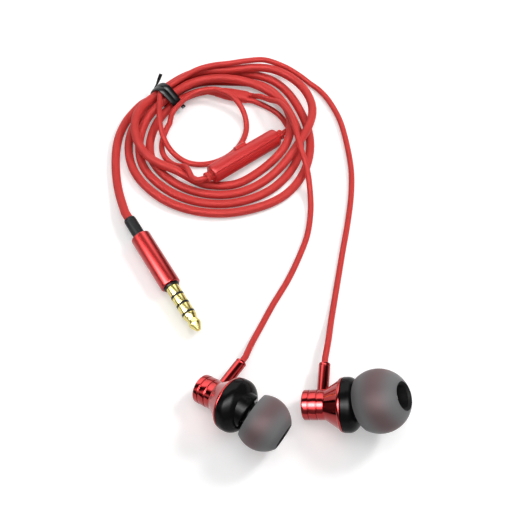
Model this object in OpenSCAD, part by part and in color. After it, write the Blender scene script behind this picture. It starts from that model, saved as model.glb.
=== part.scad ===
// Wired earphones with an in-line remote, coiled and tied.
// Millimetres. +Z is up, the parts rest on z = 0, and the origin is the middle
// of the box round the two earbuds.

/* [Cord] */
// Thickness of the joined cord between the plug and the splitter
cord_d = 2.4; // [2:0.1:2.4]
// Thickness of the single cord of each ear
thin_d = 1.6; // [1.2:0.1:1.6]

/* [Plug] */
// Outer diameter of the grip barrel
barrel_d = 5.4; // [5:0.1:6]
// Length of the grip barrel
barrel_len = 16.7; // [14:0.1:20]
// Wall of the grip barrel
barrel_wall = 0.55; // [0.4:0.05:0.7]
// Outer diameter of the strain relief
relief_d = 3.3; // [3:0.1:4]
// Length of the strain relief outside the barrel
relief_len = 6.2; // [4:0.1:8]
// Diameter of the black collar in front of the barrel
collar_d = 4.2; // [3.8:0.1:4.8]
// Thickness of the black collar
collar_t = 0.6; // [0.4:0.1:1.2]
// Diameter of the jack
jack_d = 3.5; // [3.5:0.1:3.5]
// Length of the jack beyond the barrel
jack_len = 14.5; // [13:0.1:16]
// Distance from the barrel to the first insulating band
first_band = 3.2; // [2.4:0.1:3.6]
// Length of each ring contact
ring_len = 2.3; // [1.8:0.1:2.8]
// Width of each insulating band
band_w = 0.5; // [0.3:0.1:0.7]
// Diameter of the insulating core inside the jack
core_d = 1.8; // [1.4:0.1:2.2]

/* [Remote] */
// Diameter of the remote's case
pod_d = 5.3; // [5:0.1:6]
// Length of the remote's case
pod_len = 22.5; // [20:0.5:26]
// Wall of the remote's case
pod_wall = 0.55; // [0.4:0.05:0.7]
// Diameter of the cord grips at the ends of the remote
nub_d = 2.9; // [2.6:0.1:3.2]
// Length of each cord grip outside the case
nub_len = 2; // [1.5:0.1:3]
// Length of the button along the case
button_len = 3.6; // [3:0.1:5]
// Width of the button across the case
button_w = 1.8; // [1.4:0.1:2.2]
// Height of the button above the case
button_rise = 0.8; // [0.5:0.1:1.2]
// Travel of the button
button_travel = 0.3; // [0.2:0.05:0.4]
// Thickness of the circuit board
board_t = 0.6; // [0.4:0.1:0.8]

/* [Earbud housing] */
// Outer diameter of the red barrel
housing_d = 7.3; // [6.8:0.1:7.8]
// Length of the housing from its back to its rim
housing_len = 9.7; // [9:0.1:11]
// Length of the flared cone
cone_len = 4.3; // [3.8:0.1:4.6]
// Diameter of the rim of the cone
rim_d = 13; // [12.6:0.1:13.4]
// Wall of the barrel
housing_wall = 0.55; // [0.4:0.05:0.7]
// Distance from the back to the first turned groove
groove_from = 1.5; // [1.2:0.1:2]
// Distance between the two turned grooves
groove_pitch = 2; // [1.6:0.1:2.2]
// Width of a turned groove
groove_w = 0.3; // [0.2:0.05:0.4]
// Depth of a turned groove
groove_deep = 0.2; // [0.1:0.05:0.25]
// Thickness of the cap in the back
cap_t = 0.8; // [0.6:0.1:1]

/* [Earbud stem] */
// Outer diameter of the stem
stem_d = 2.9; // [2.8:0.1:3.1]
// Bore of the stem
stem_bore = 2; // [1.9:0.1:2.1]
// Distance from the back of the housing to the stem's axis
stem_from = 4.4; // [4.2:0.1:4.6]
// Reach of the stem from the barrel's axis
stem_reach = 10.8; // [9:0.1:12]
// Length of the bush in the stem's mouth
bush_len = 1.8; // [1:0.1:3]

/* [Earbud front] */
// Diameter of the black front shell
front_d = 13.2; // [12.8:0.1:13.6]
// Width of the straight band of the front shell
front_band = 1.2; // [0.8:0.1:1.6]
// Height of the dome above its band
dome_rise = 3.7; // [3.2:0.1:4.2]
// Wall of the front shell
front_wall = 0.8; // [0.6:0.05:1]
// Angle between the barrel's axis and the nozzle
nozzle_bend = 24; // [15:1:30]
// Diameter of the nozzle's neck
neck_d = 5.2; // [4.8:0.1:5.4]
// Diameter of the lip that holds the ear tip
lip_d = 5.5; // [5.5:0.1:5.8]
// Length of the nozzle beyond the dome
nozzle_len = 9; // [8:0.1:10]
// Bore of the nozzle
nozzle_bore = 3.4; // [3:0.1:3.6]
// Diameter of the boss at the root of the nozzle
boss_d = 8.6; // [8:0.1:9.2]
// Diameter of the vent in the boss
vent_d = 1.1; // [0.9:0.1:1.3]

/* [Ear tips] */
// Outer diameter of the right ear tip
right_tip_d = 15; // [14:0.1:15.4]
// Outer diameter of the left ear tip
left_tip_d = 13; // [12:0.1:13.4]
// Wall of an ear tip's skirt
tip_wall = 0.65; // [0.5:0.05:0.8]
// Wall of an ear tip's inner tube
tip_tube_wall = 0.7; // [0.5:0.05:0.9]
// Distance along the nozzle from the dome to the middle of the tip
tip_from = 5.2; // [4.8:0.1:5.8]
// Distance that the skirt reaches behind the middle of the tip
skirt_reach = 3.4; // [2.8:0.1:3.6]

/* [Driver] */
// Diameter of the driver's frame
frame_d = 9.7; // [9.4:0.1:9.8]
// Depth of the driver's frame
frame_deep = 1.3; // [1.1:0.1:1.5]
// Diameter of the magnet's yoke
yoke_d = 5.6; // [5.2:0.1:5.8]
// Depth of the magnet's yoke
yoke_deep = 2; // [1.8:0.1:2.2]
// Diameter of the magnet
magnet_d = 3.4; // [3:0.1:3.4]
// Inner diameter of the voice coil
voice_bore = 3.9; // [3.9:0.1:4]
// Travel of the diaphragm each way
voice_travel = 0.15; // [0.05:0.01:0.15]

/* [Tie and splitter] */
// Width of the tie along the cords
tie_w = 3.4; // [2.5:0.1:4]
// Thickness of the tie
tie_t = 0.4; // [0.3:0.05:0.4]
// Length of the splitter
split_len = 10; // [9:0.5:10]

/* [Clearances] */
// Gap round a piece pressed or glued into its seat
seat_gap = 0.03; // [0.02:0.01:0.05]
// Gap between the nozzle's lip and the ear tip
tip_gap = 0.05; // [0.03:0.01:0.08]
// Gap round the button
button_gap = 0.15; // [0.1:0.05:0.2]
// Gap between the tie and the cords inside it
tie_gap = 0.35; // [0.3:0.05:0.4]

/* [Hidden] */
$fn = 64;

red = "#d4403c";
metal_red = "#b8202a";
black = "#1c1c1e";
gold = "#d8a93c";
smoke = "#6b6360";
steel = "#a9acb0";

// ---- Places: [x, y, z] and turns [roll, pitch up, heading] ----
right_at = [10.37, -0.43, 6.3];
right_turn = [-8, 16, -4];
left_at = [-16.03, -0.33, 6.93];
left_turn = [-8, 22, -32];
plug_at = [-32.5, 31.83, barrel_d / 2];
plug_turn = [0, 0, -58];
pod_at = [-13.8, 70.53, 4];
pod_turn = [-55, -5.5, 37.5];
split_at = [-22.6, 94.13, 1.4];
split_turn = [0, 0, -12];

function turn_x(v, a) = [v.x, v.y * cos(a) - v.z * sin(a), v.y * sin(a) + v.z * cos(a)];
function turn_y(v, a) = [v.x * cos(a) - v.z * sin(a), v.y, v.x * sin(a) + v.z * cos(a)];
function turn_z(v, a) = [v.x * cos(a) - v.y * sin(a), v.x * sin(a) + v.y * cos(a), v.z];
// A point of a piece's own frame, in the frame of the whole part
function placed(v, at, turn) = at + turn_z(turn_y(turn_x(v, turn[0]), turn[1]), turn[2]);

module place(at, turn) {
    translate(at) rotate([0, 0, turn[2]]) rotate([0, -turn[1], 0]) rotate([turn[0], 0, 0])
        children();
}

// ---- Cords ----
// Catmull-Rom curve through the values or points of a list
function between(a, b, c, d, t) =
    0.5 * (2 * b + (c - a) * t + (2 * a - 5 * b + 4 * c - d) * t * t
    + (3 * b - a - 3 * c + d) * t * t * t);
function on_curve(p, i, t) =
    between(p[max(i - 1, 0)], p[i], p[i + 1], p[min(i + 2, len(p) - 1)], t);
function curve(p, steps) =
    concat([for (i = [0:len(p) - 2], s = [0:steps - 1]) on_curve(p, i, s / steps)],
    [p[len(p) - 1]]);

function unit(v) = v / norm(v);
function tangent(p, i) = unit(p[min(i + 1, len(p) - 1)] - p[max(i - 1, 0)]);
function ring(centre, along, r, sides) =
    let (side = unit(cross(along, [0, 0, 1])), rise = cross(side, along))
    [for (k = [0:sides - 1])
        centre + r * (cos(360 * (k + 0.5) / sides) * side + sin(360 * (k + 0.5) / sides) * rise)];

// A round cord as one closed skin of triangles along a path
module cord(path, d, sides) {
    rings = len(path);
    points = [for (i = [0:rings - 1]) each ring(path[i], tangent(path, i), d / 2, sides)];
    walls = [for (i = [0:rings - 2], k = [0:sides - 1])
        let (a = i * sides + k, b = i * sides + (k + 1) % sides)
        each [[a, a + sides, b], [b, a + sides, b + sides]]];
    first_end = [for (k = [1:sides - 2]) [0, k, k + 1]];
    last_end = [for (k = [1:sides - 2])
        let (z = (rings - 1) * sides) [z, z + k + 1, z + k]];
    polyhedron(points, concat(walls, first_end, last_end));
}

// The coil: how far each turn lies from the coil's middle, and how high, at twelve
// stations of 30 degrees, clockwise from the tie
coil_mid = [-22, 78.43];
tie_angle = 140;
station = 30;
rings_per_station = 2;
sides_coil = 6;
sides_cord = 8;
coil_reach = [
    22.4, 22.6, 22.8, 25.7, 25.8, 27.0, 27.2, 25.2, 24.4, 24.7, 25.2, 23.8,
    19.5, 19.7, 19.8, 22.5, 22.7, 24.1, 23.4, 22.2, 21.5, 21.7, 22.3, 20.7,
    18.05, 18.2, 18.6, 20.4, 21.6, 20.4, 16.9, 16.4, 15.7, 16.3, 20.8, 23.0,
    21.0, 21.3, 21.7, 27.9, 29.0, 23.6, 20.3, 19.3, 18.6, 18.7, 19.3, 18.0,
    16.6, 16.5];
coil_rise = [
    1.8, 1.4, 1.2, 1.2, 1.2, 1.2, 1.2, 1.2, 1.2, 1.2, 1.2, 1.3,
    1.8, 1.4, 1.2, 1.2, 1.2, 1.2, 1.2, 1.2, 1.2, 1.2, 1.2, 2.7,
    4.35, 4.3, 4.2, 3.4, 4.1, 4.2, 1.3, 1.2, 1.2, 3.6, 4.3, 5.0,
    4.35, 4.3, 4.3, 3.7, 3.9, 4.4, 1.6, 1.2, 1.2, 1.2, 1.2, 1.3,
    1.8, 1.4];

function round_coil(reach, rise, steps) =
    let (r = curve(reach, steps), z = curve(rise, steps))
    [for (i = [0:len(r) - 1])
        let (a = tie_angle - i * station / steps)
        [coil_mid.x + r[i] * cos(a), coil_mid.y + r[i] * sin(a), z[i]]];
// A path with no point lower than a cord of this diameter can lie
function laid(path, d) = [for (p = path) [p.x, p.y, max(p.z, d / 2)]];

main_path = laid(concat(round_coil(coil_reach, coil_rise, rings_per_station),
    [placed([-cord_d, 0, 0], split_at, split_turn), split_at]), cord_d);

// Single cord of the right ear between the remote and the tie: one loose loop
right_reach = [15.7, 15.7, 14.8, 12.2, 9.7, 7.6, 7.1, 7.4, 9.0, 11.8, 14.4, 17.0, 19.5];
right_rise = [3.95, 4.2, 4.3, 2.6, 0.8, 0.8, 0.8, 0.8, 0.8, 0.8, 2.2, 5.2, 6.3];
right_loop = laid(round_coil(right_reach, right_rise, rings_per_station), thin_d);

echo(least_gap_of_the_coil_to_itself = min([for (i = [0:len(main_path) - 13])
    min([for (j = [i + 12:len(main_path) - 1]) norm(main_path[i] - main_path[j])])]) - cord_d);

stem_x = -housing_len + stem_from;
function stem_mouth(at, turn, beyond) = placed([stem_x, stem_reach + beyond, 0], at, turn);

plug_route = concat([main_path[0], main_path[0] + cord_d * unit(main_path[0] - main_path[1])],
    [[-43.3, 89.63, 1.9], [-45.6, 87.43, 1.4], [-48, 83.73, 1.2], [-49.7, 78.43, 1.2],
    [-50.1, 72.53, 1.2], [-49.5, 65.93, 1.2], [-48.2, 59.93, 1.4]],
    [placed([-barrel_len - relief_len - cord_d, 0, 0], plug_at, plug_turn),
    placed([-barrel_len - relief_len, 0, 0], plug_at, plug_turn)]);

left_route = concat(
    [placed([split_len, thin_d * 0.56, 0], split_at, split_turn),
    placed([split_len + thin_d, thin_d * 0.56, 0], split_at, split_turn)],
    [[-9.3, 91.53, 2.6], [-6.7, 89.23, 4.2], [-3.9, 86.93, 5.9], [-1.2, 82.43, 6.7],
    [0.4, 77.03, 6.9], [1.5, 72.43, 6.3], [2.9, 68.23, 4.8], [3.8, 64.23, 3.4], [4.3, 59.43, 1.6],
    [4.3, 54.63, 0.8], [3.3, 47.83, 0.8], [1.1, 41.53, 0.8], [-2.1, 34.43, 0.8],
    [-6.1, 27.43, 0.8], [-9.3, 21.23, 0.9], [-11.6, 16.43, 1.8]],
    [stem_mouth(left_at, left_turn, thin_d), stem_mouth(left_at, left_turn, 0)]);

remote_route = concat(
    [placed([split_len, -thin_d * 0.56, 0], split_at, split_turn),
    placed([split_len + thin_d, -thin_d * 0.56, 0], split_at, split_turn)],
    [[-8.4, 89.63, 0.9], [-5.4, 87.73, 0.8], [-3.1, 85.23, 0.8], [-1.8, 82.63, 1.1],
    [-1.3, 80.93, 1.8]],
    [placed([pod_len / 2 + nub_len + 1, 0, 0], pod_at, pod_turn),
    placed([pod_len / 2 + nub_len, 0, 0], pod_at, pod_turn)]);

right_coil_route = concat(
    [placed([-pod_len / 2 - nub_len, 0, 0], pod_at, pod_turn),
    placed([-pod_len / 2 - nub_len - thin_d, 0, 0], pod_at, pod_turn)],
    [[-27, 61.43, 5.2], [-28.3, 63.03, 4.9], [-28.9, 64.93, 5], [-29.8, 66.93, 4.4],
    [-31.7, 68.03, 2.3], [-34.1, 69.43, 1.1], [-36.8, 71.83, 0.8], [-38.4, 75.63, 0.8],
    [-37.2, 80.83, 1.2], [-36.3, 84.93, 3.3]]);

// Under the tie the right cord's two lengths meet square, each straight for a little
meeting = right_loop[len(right_loop) - 1];
meeting_along = thin_d * [sin(tie_angle), -cos(tie_angle), 0];
function right_coil_path() = concat(eased(right_coil_route, 2, thin_d),
    [for (i = [0:len(right_loop) - 2]) right_loop[i]], [meeting - meeting_along, meeting]);

right_route = concat([meeting, meeting + meeting_along],
    [[-28.9, 97.43, 6.5], [-23.8, 99.53, 6.5], [-18.1, 100.53, 6.4], [-13.6, 101.53, 6.2],
    [-8.1, 102.53, 5.4], [-2.5, 101.63, 3.6], [1.9, 99.93, 1.8], [5.3, 97.53, 0.8],
    [8.2, 94.83, 0.8], [10.9, 90.83, 0.8], [13.6, 84.33, 0.8],
    [15.2, 76.13, 0.8], [16, 67.83, 0.8], [15.6, 59.83, 0.8], [14.3, 51.43, 0.8],
    [12.6, 43.03, 0.8], [11.2, 35.83, 0.8], [9.8, 28.63, 0.8], [8.6, 22.43, 1.4], [7.6, 16.83, 3]],
    [stem_mouth(right_at, right_turn, thin_d), stem_mouth(right_at, right_turn, 0)]);

// Straight ends with a smooth curve between them
function eased(p, steps, d) = laid(
    concat([p[0]], curve([for (i = [1:len(p) - 2]) p[i]], steps), [p[len(p) - 1]]), d);

module plug_lead() { color(red) cord(eased(plug_route, 1, cord_d), cord_d, sides_cord); }
module main_coil() { color(red) cord(main_path, cord_d, sides_coil); }
module left_cord() { color(red) cord(eased(left_route, 2, thin_d), thin_d, sides_cord); }
module remote_cord() { color(red) cord(eased(remote_route, 2, thin_d), thin_d, sides_cord); }
module right_cord_coil() { color(red) cord(right_coil_path(), thin_d, sides_coil); }
module right_cord_run() { color(red) cord(eased(right_route, 2, thin_d), thin_d, sides_cord); }

// ---- Shared shapes ----
// A profile of [radius, distance] points turned about the X axis
module turned(profile) { rotate([0, 90, 0]) rotate_extrude() polygon(profile); }
module rod(d, from, to) { translate([from, 0, 0]) rotate([0, 90, 0]) cylinder(d = d, h = to - from); }

// ---- Plug: own frame with +X along the jack, origin on the barrel's front ----
relief_neck_d = relief_d - 0.6;
barrel_end = 1.2;
barrel_bore = barrel_d - 2 * barrel_wall;
edge = 0.3;
first_end = first_band + band_w;
second_band = first_end + ring_len;
second_end = second_band + band_w;
third_band = second_end + ring_len;
third_end = third_band + band_w;
jack_root = 4;
jack_root_d = 3;
tip_waist_d = 2.5;
tip_point_d = 1;
tip_land = 0.8;
tip_waist = 1.7;
tip_swell = 2.9;
tip_shoulder = 3.4;
tip_socket = 1;

module on_plug() { place(plug_at, plug_turn) children(); }

module barrel() {
    r = barrel_d / 2;
    back = -barrel_len;
    neck = relief_neck_d / 2 + seat_gap;
    color(metal_red) on_plug() turned([
        [neck, back], [r - edge, back], [r, back + edge], [r, -edge], [r - edge, 0],
        [barrel_bore / 2, 0], [barrel_bore / 2, back + barrel_end], [neck, back + barrel_end]]);
}
module strain_relief() {
    r = relief_d / 2;
    back = -barrel_len - relief_len;
    color(black) on_plug() turned([
        [0, back], [r - edge, back], [r, back + edge], [r, -barrel_len],
        [relief_neck_d / 2, -barrel_len], [relief_neck_d / 2, -barrel_len + barrel_end],
        [0, -barrel_len + barrel_end]]);
}
module inner_mould() {
    color("#3a3a3c") on_plug() difference() {
        rod(barrel_bore - 2 * seat_gap, -barrel_len + barrel_end, 0);
        rod(jack_root_d + 2 * seat_gap, -jack_root, 1);
        rod(core_d + 2 * seat_gap, -jack_root - 1, 1);
    }
}
module collar() {
    color(black) on_plug() difference() {
        rod(collar_d, 0, collar_t);
        rod(jack_root_d + 2 * seat_gap, -1, collar_t + 1);
    }
}
module contact(from, to, root = 0) {
    color(gold) on_plug() difference() {
        union() {
            rod(jack_d, from, to);
            if (root > 0) rod(jack_root_d, -root, to);
        }
        rod(core_d + 2 * seat_gap, min(from, -root) - 1, to + 1);
    }
}
module jack_sleeve() { contact(collar_t + seat_gap, first_band, jack_root); }
module jack_ring_2() { contact(first_end, second_band); }
module jack_ring_1() { contact(second_end, third_band); }
module jack_tip() {
    r = jack_d / 2;
    socket = core_d / 2 + seat_gap;
    color(gold) on_plug() turned([
        [socket, third_end], [r, third_end], [r, third_end + tip_land],
        [tip_waist_d / 2, third_end + tip_waist], [r * 0.95, third_end + tip_swell],
        [r * 0.9, third_end + tip_shoulder], [tip_point_d / 2, jack_len], [0, jack_len],
        [0, third_end + tip_socket], [socket, third_end + tip_socket]]);
}
module jack_insulators() {
    color(black) on_plug() {
        rod(core_d, -jack_root - 1, third_end + tip_socket);
        rod(jack_d, first_band, first_end);
        rod(jack_d, second_band, second_end);
        rod(jack_d, third_band, third_end);
    }
}

// ---- Remote: own frame with +X along the case, +Z through the button ----
pod_bore = pod_d - 2 * pod_wall;
pod_round = 1.2;
board_z = -0.5;
board_len = pod_len - 3;
board_w = 3.4;
switch_size = [2.6, 2.2, 0.7];
plunger_d = 1;
mic_x = -6.5;
mic_d = 2;
mic_h = 0.9;
port_d = 0.6;
button_top = pod_d / 2 + button_rise;
button_foot = 0.5;
foot_over = 0.4;
board_top = board_z + board_t;
switch_top = board_top + switch_size.z;
nub_flange_d = nub_d + 0.8;
nub_flange_t = 0.6;
pod_end = 0.9;
foot_top = pod_bore / 2 - 0.35;
plunger_in = 0.15;
plunger_room = 0.1;

module on_pod() { place(pod_at, pod_turn) children(); }
function rounded_end(r, half, bend) = [
    for (a = [0:30:90]) [r - bend + bend * cos(a), half - bend + bend * sin(a)]];

module pod_solid(r, half, bend) {
    ends = rounded_end(r, half, bend);
    turned(concat([[0, half]], [for (i = [len(ends) - 1:-1:0]) ends[i]],
        [for (p = ends) [p.x, -p.y]], [[0, -half]]));
}
module pod_shell() {
    difference() {
        pod_solid(pod_d / 2, pod_len / 2, pod_round);
        rod(pod_bore, -pod_len / 2 + pod_end, pod_len / 2 - pod_end);
        rod(nub_d + 2 * seat_gap, -pod_len, pod_len);
    }
}
module half_space(up) {
    translate([-pod_len, -pod_d, up ? seat_gap / 2 : -2 * pod_d - seat_gap / 2])
        cube([2 * pod_len, 2 * pod_d, 2 * pod_d]);
}
module case_lower() {
    color(red) on_pod() intersection() {
        pod_shell();
        half_space(false);
    }
}
module case_upper() {
    slot = [button_len + 2 * button_gap, button_w + 2 * button_gap];
    color(red) on_pod() difference() {
        intersection() {
            pod_shell();
            half_space(true);
        }
        translate([-slot.x / 2, -slot.y / 2, 0]) cube([slot.x, slot.y, pod_d]);
        translate([mic_x, 0, 0]) cylinder(d = port_d, h = pod_d);
    }
}
// The button's foot is wider than its slot and stays inside the case
module button() {
    foot = [button_len + 2 * foot_over, button_w];
    color(red) on_pod() {
        translate([-button_len / 2, -button_w / 2, foot_top - button_foot])
            cube([button_len, button_w, button_top - foot_top + button_foot]);
        translate([-foot.x / 2, -foot.y / 2, foot_top - button_foot])
            cube([foot.x, foot.y, button_foot]);
    }
}
module board() {
    color("#1f5a3a") on_pod() translate([-board_len / 2, -board_w / 2, board_z])
        cube([board_len, board_w, board_t]);
}
module switch_body() {
    color("#c9cbce") on_pod() difference() {
        translate([-switch_size.x / 2, -switch_size.y / 2, board_top]) cube(switch_size);
        translate([0, 0, switch_top - plunger_in - button_travel - plunger_room])
            cylinder(d = plunger_d + 2 * plunger_room, h = switch_size.z);
    }
}
module switch_plunger() {
    color("#2b2b2d") on_pod() translate([0, 0, switch_top - plunger_in])
        cylinder(d = plunger_d, h = foot_top - button_foot - switch_top + plunger_in);
}
module mic() {
    color(steel) on_pod() translate([mic_x, 0, board_top]) cylinder(d = mic_d, h = mic_h);
}
module nub(side) {
    inner_end = pod_len / 2 - pod_end;
    color(red) on_pod() mirror([side > 0 ? 0 : 1, 0, 0]) {
        rod(nub_d, inner_end, pod_len / 2 + nub_len);
        rod(nub_flange_d, inner_end - nub_flange_t, inner_end);
    }
}

// ---- Splitter: own frame with +X from the joined cord to the two thin ones ----
split_h = 2.8;
split_w = 3.8;
module splitter() {
    r = split_h / 2;
    color(red) place(split_at, split_turn) hull() {
        rod(split_h, 0, 1);
        for (y = [-1, 1]) translate([0, y * (split_w / 2 - r), 0]) rod(split_h, 3, split_len);
    }
}

// ---- Tie: own frame with +X along the cords, +Y away from the coil's middle ----
tie_reach = 19.5;
tail_from = [0.2, 4.45, 2.4];
tail_size = [0.9, tie_t, 5];
tail_lean = 40;
stub_from = [0.8, -6.1, 1.5];
stub_size = [1.4, 1.4, 0.9];
// Middles of the cords inside the tie: [across, up, diameter]
tied = [[2.9, 1.8, cord_d], [-2.9, 1.8, cord_d], [-3.8, 3.95, thin_d], [-1.45, 4.35, cord_d],
    [1.5, 4.35, cord_d], [0, 6.3, thin_d]];

module tied_outline(grow) {
    hull() for (c = tied) translate([c[0], c[1]]) circle(r = c[2] / 2 + grow, $fn = 32);
}
module tie_band() {
    translate([-tie_w / 2, 0, 0]) rotate([90, 0, 90]) linear_extrude(tie_w) difference() {
        intersection() {
            tied_outline(tie_gap + tie_t);
            translate([-20, 0]) square([40, 40]);
        }
        intersection() {
            tied_outline(tie_gap);
            translate([-20, tie_t]) square([40, 40]);
        }
    }
}
module twist_tie() {
    at = [coil_mid.x + tie_reach * cos(tie_angle), coil_mid.y + tie_reach * sin(tie_angle), 0];
    color(black) translate(at) rotate([0, 0, tie_angle - 90]) {
        tie_band();
        translate(tail_from) rotate([0, tail_lean, 0]) cube(tail_size);
        translate(stub_from) cube(stub_size);
    }
}

// ---- Earbud: own frame with the origin in the middle of the rim, +X to the front,
// ---- +Y along the stem, nozzle bent towards +Z; the left one is the mirror image ----
back_x = -housing_len;
housing_bore = housing_d - 2 * housing_wall;
frame_front = -0.5;
frame_back = frame_front - frame_deep;
spigot_d = rim_d - 1.3;
cap_d = housing_bore + 0.3;
chamfer = 0.25;
bead = 0.4;
nozzle_from = 4;
front_gap = 0.15;
mesh_d = nozzle_bore + 0.6;
mesh_t = 0.4;
vent_along = -0.45;
vent_angle = -75;
boss_from = -2.5;
boss_to = 0.8;
lip_len = 1.6;
lip_ramp = 0.3;
tip_tube_from = 2.2;
tip_flare = 0.6;

module on_bud(side) {
    at = side > 0 ? right_at : left_at;
    turn = side > 0 ? right_turn : left_turn;
    place(at, turn) mirror([0, 0, side > 0 ? 0 : 1]) children();
}
module on_nozzle() {
    translate([nozzle_from, 0, 0]) rotate([0, -nozzle_bend, 0]) children();
}

module housing_solid() {
    r = housing_d / 2;
    g1 = back_x + groove_from;
    g2 = g1 + groove_pitch;
    turned([
        [cap_d / 2 + seat_gap, back_x], [r - chamfer, back_x], [r, back_x + chamfer],
        [r, g1], [r - groove_deep, g1], [r - groove_deep, g1 + groove_w], [r, g1 + groove_w],
        [r, g2], [r - groove_deep, g2], [r - groove_deep, g2 + groove_w], [r, g2 + groove_w],
        [r, -cone_len], [rim_d / 2 - bead / 2, -bead], [rim_d / 2, -bead / 2], [rim_d / 2, 0],
        [spigot_d / 2 + seat_gap, 0], [spigot_d / 2 + seat_gap, frame_front],
        [frame_d / 2 + seat_gap, frame_front], [frame_d / 2 + seat_gap, frame_back],
        [frame_d / 2 - 0.4, frame_back], [housing_bore / 2, -cone_len],
        [housing_bore / 2, back_x + cap_t], [cap_d / 2 + seat_gap, back_x + cap_t]]);
}
module housing(side) {
    color(metal_red) on_bud(side) difference() {
        housing_solid();
        translate([stem_x, 0, 0]) rotate([-90, 0, 0]) cylinder(d = stem_d + 2 * seat_gap, h = housing_d);
    }
}
module rear_cap(side) {
    r = cap_d / 2;
    color(metal_red) on_bud(side) turned([
        [0, back_x], [r - 0.2, back_x], [r, back_x + 0.2], [r, back_x + cap_t],
        [0, back_x + cap_t]]);
}
module stem(side) {
    color(metal_red) on_bud(side) translate([stem_x, 0, 0]) rotate([-90, 0, 0])
        rotate_extrude() polygon([
            [stem_bore / 2, housing_bore / 2 - 0.4], [stem_d / 2, housing_bore / 2 - 0.4],
            [stem_d / 2, stem_reach - 0.3], [stem_d / 2 - 0.2, stem_reach],
            [stem_bore / 2, stem_reach]]);
}
module stem_bush(side) {
    color(black) on_bud(side) translate([stem_x, stem_reach - bush_len, 0]) rotate([-90, 0, 0])
        cylinder(d = stem_bore - 2 * seat_gap, h = bush_len);
}

dome_step = 10;
function dome(r, rise, from) =
    [for (a = [0:dome_step:90]) [r * cos(a), from + rise * sin(a)]];
module front_shell(side) {
    band_front = front_gap + front_band;
    outer = dome(front_d / 2, dome_rise, band_front);
    inner = dome(front_d / 2 - front_wall, dome_rise - front_wall, band_front);
    spigot_in = spigot_d / 2 - front_wall;
    color(black) on_bud(side) difference() {
        union() {
            turned(concat([[0, frame_front], [spigot_d / 2, frame_front],
                [spigot_d / 2, front_gap], [front_d / 2, front_gap]], outer));
            on_nozzle() {
                rod(boss_d, boss_from, boss_to);
                rod(neck_d, 0, nozzle_len);
                turned([[0, nozzle_len - lip_len], [neck_d / 2, nozzle_len - lip_len],
                    [lip_d / 2, nozzle_len - lip_len + lip_ramp],
                    [lip_d / 2, nozzle_len - lip_ramp],
                    [lip_d / 2 - lip_ramp, nozzle_len], [0, nozzle_len]]);
            }
        }
        turned(concat([[0, frame_front - 1], [spigot_in, frame_front - 1],
            [spigot_in, band_front]], [for (p = inner) if (p.x < spigot_in) p]));
        on_nozzle() {
            rod(nozzle_bore, -3, nozzle_len + 1);
            rod(mesh_d + 2 * seat_gap, nozzle_len - mesh_t, nozzle_len + 1);
            translate([vent_along, 0, 0]) rotate([vent_angle - 90, 0, 0])
                cylinder(d = vent_d, h = boss_d);
        }
    }
}

// A round plate pierced by rings of small holes
module nozzle_mesh(side) {
    hole = 0.4;
    pitch = 0.75;
    color(steel) on_bud(side) on_nozzle() difference() {
        rod(mesh_d, nozzle_len - mesh_t, nozzle_len);
        for (k = [0:2], i = [0:max(6 * k, 1) - 1])
            rotate([i * 360 / max(6 * k, 1), 0, 0]) translate([0, k * pitch, 0])
                rod(hole, nozzle_len - 1, nozzle_len + 1, $fn = 8);
    }
}
// An umbrella of rubber: a ball-shaped skirt on an inner tube
module ear_tip(side) {
    ball = (side > 0 ? right_tip_d : left_tip_d) / 2;
    bore = lip_d / 2 + tip_gap;
    tube = bore + tip_tube_wall;
    mouth = bore + tip_flare;
    last = 90 + asin(skirt_reach / ball);
    first = asin(mouth / ball);
    inner = ball - tip_wall;
    root = asin((tube + 0.1) / inner);
    steps = 10;
    color(smoke) on_bud(side) on_nozzle() translate([tip_from, 0, 0]) turned(concat(
        [[bore, ball * cos(first) - 0.5]],
        [for (i = [0:steps]) let (a = first + (last - first) * i / steps)
            [ball * sin(a), ball * cos(a)]],
        [for (i = [steps:-1:0]) let (a = root + (last - root) * i / steps)
            [inner * sin(a), inner * cos(a)]],
        [[tube, inner * cos(root)], [tube, tip_tube_from - tip_from],
            [bore, tip_tube_from - tip_from]]));
}

frame_hole = yoke_d / 2 + seat_gap;
frame_floor = 0.5;
yoke_back = frame_back + frame_floor - yoke_deep;
yoke_wall = 0.4;
film_x = -1.05;
coil_back = film_x - 1.2;
film_d = frame_d - 1.1;
film_t = 0.12;
voice_d = voice_bore + 0.4;
magnet_h = 1.2;
terminal_d = 4;
terminal_t = 0.5;

module driver_frame(side) {
    r = frame_d / 2;
    color("#8d8f93") on_bud(side) turned([
        [frame_hole, frame_back], [r, frame_back], [r, frame_front], [r - 0.3, frame_front],
        [r - 0.3, frame_back + frame_floor], [frame_hole, frame_back + frame_floor]]);
}
module yoke(side) {
    r = yoke_d / 2;
    color(steel) on_bud(side) turned([
        [0, yoke_back], [r, yoke_back], [r, frame_back + frame_floor],
        [r - yoke_wall, frame_back + frame_floor], [r - yoke_wall, yoke_back + yoke_wall],
        [0, yoke_back + yoke_wall]]);
}
module magnet(side) {
    color("#5b5d60") on_bud(side) rod(magnet_d, yoke_back + yoke_wall, yoke_back + yoke_wall + magnet_h);
}
module voice_coil(side) {
    color("#b87333") on_bud(side) difference() {
        rod(voice_d, coil_back, film_x);
        rod(voice_bore, coil_back - 1, film_x + 1);
    }
}
module diaphragm(side) {
    r = film_d / 2;
    v = voice_d / 2;
    color("#d9c9a0") on_bud(side) turned([
        [0, film_x + 0.5], [v * 0.6, film_x + 0.36], [v, film_x], [r - 0.9, film_x],
        [r - 0.5, film_x + 0.2], [r, film_x], [r, film_x + film_t],
        [r - 0.5, film_x + 0.2 + film_t], [r - 0.9, film_x + film_t], [v, film_x + film_t],
        [v * 0.6, film_x + 0.36 + film_t], [0, film_x + 0.5 + film_t]]);
}
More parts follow.
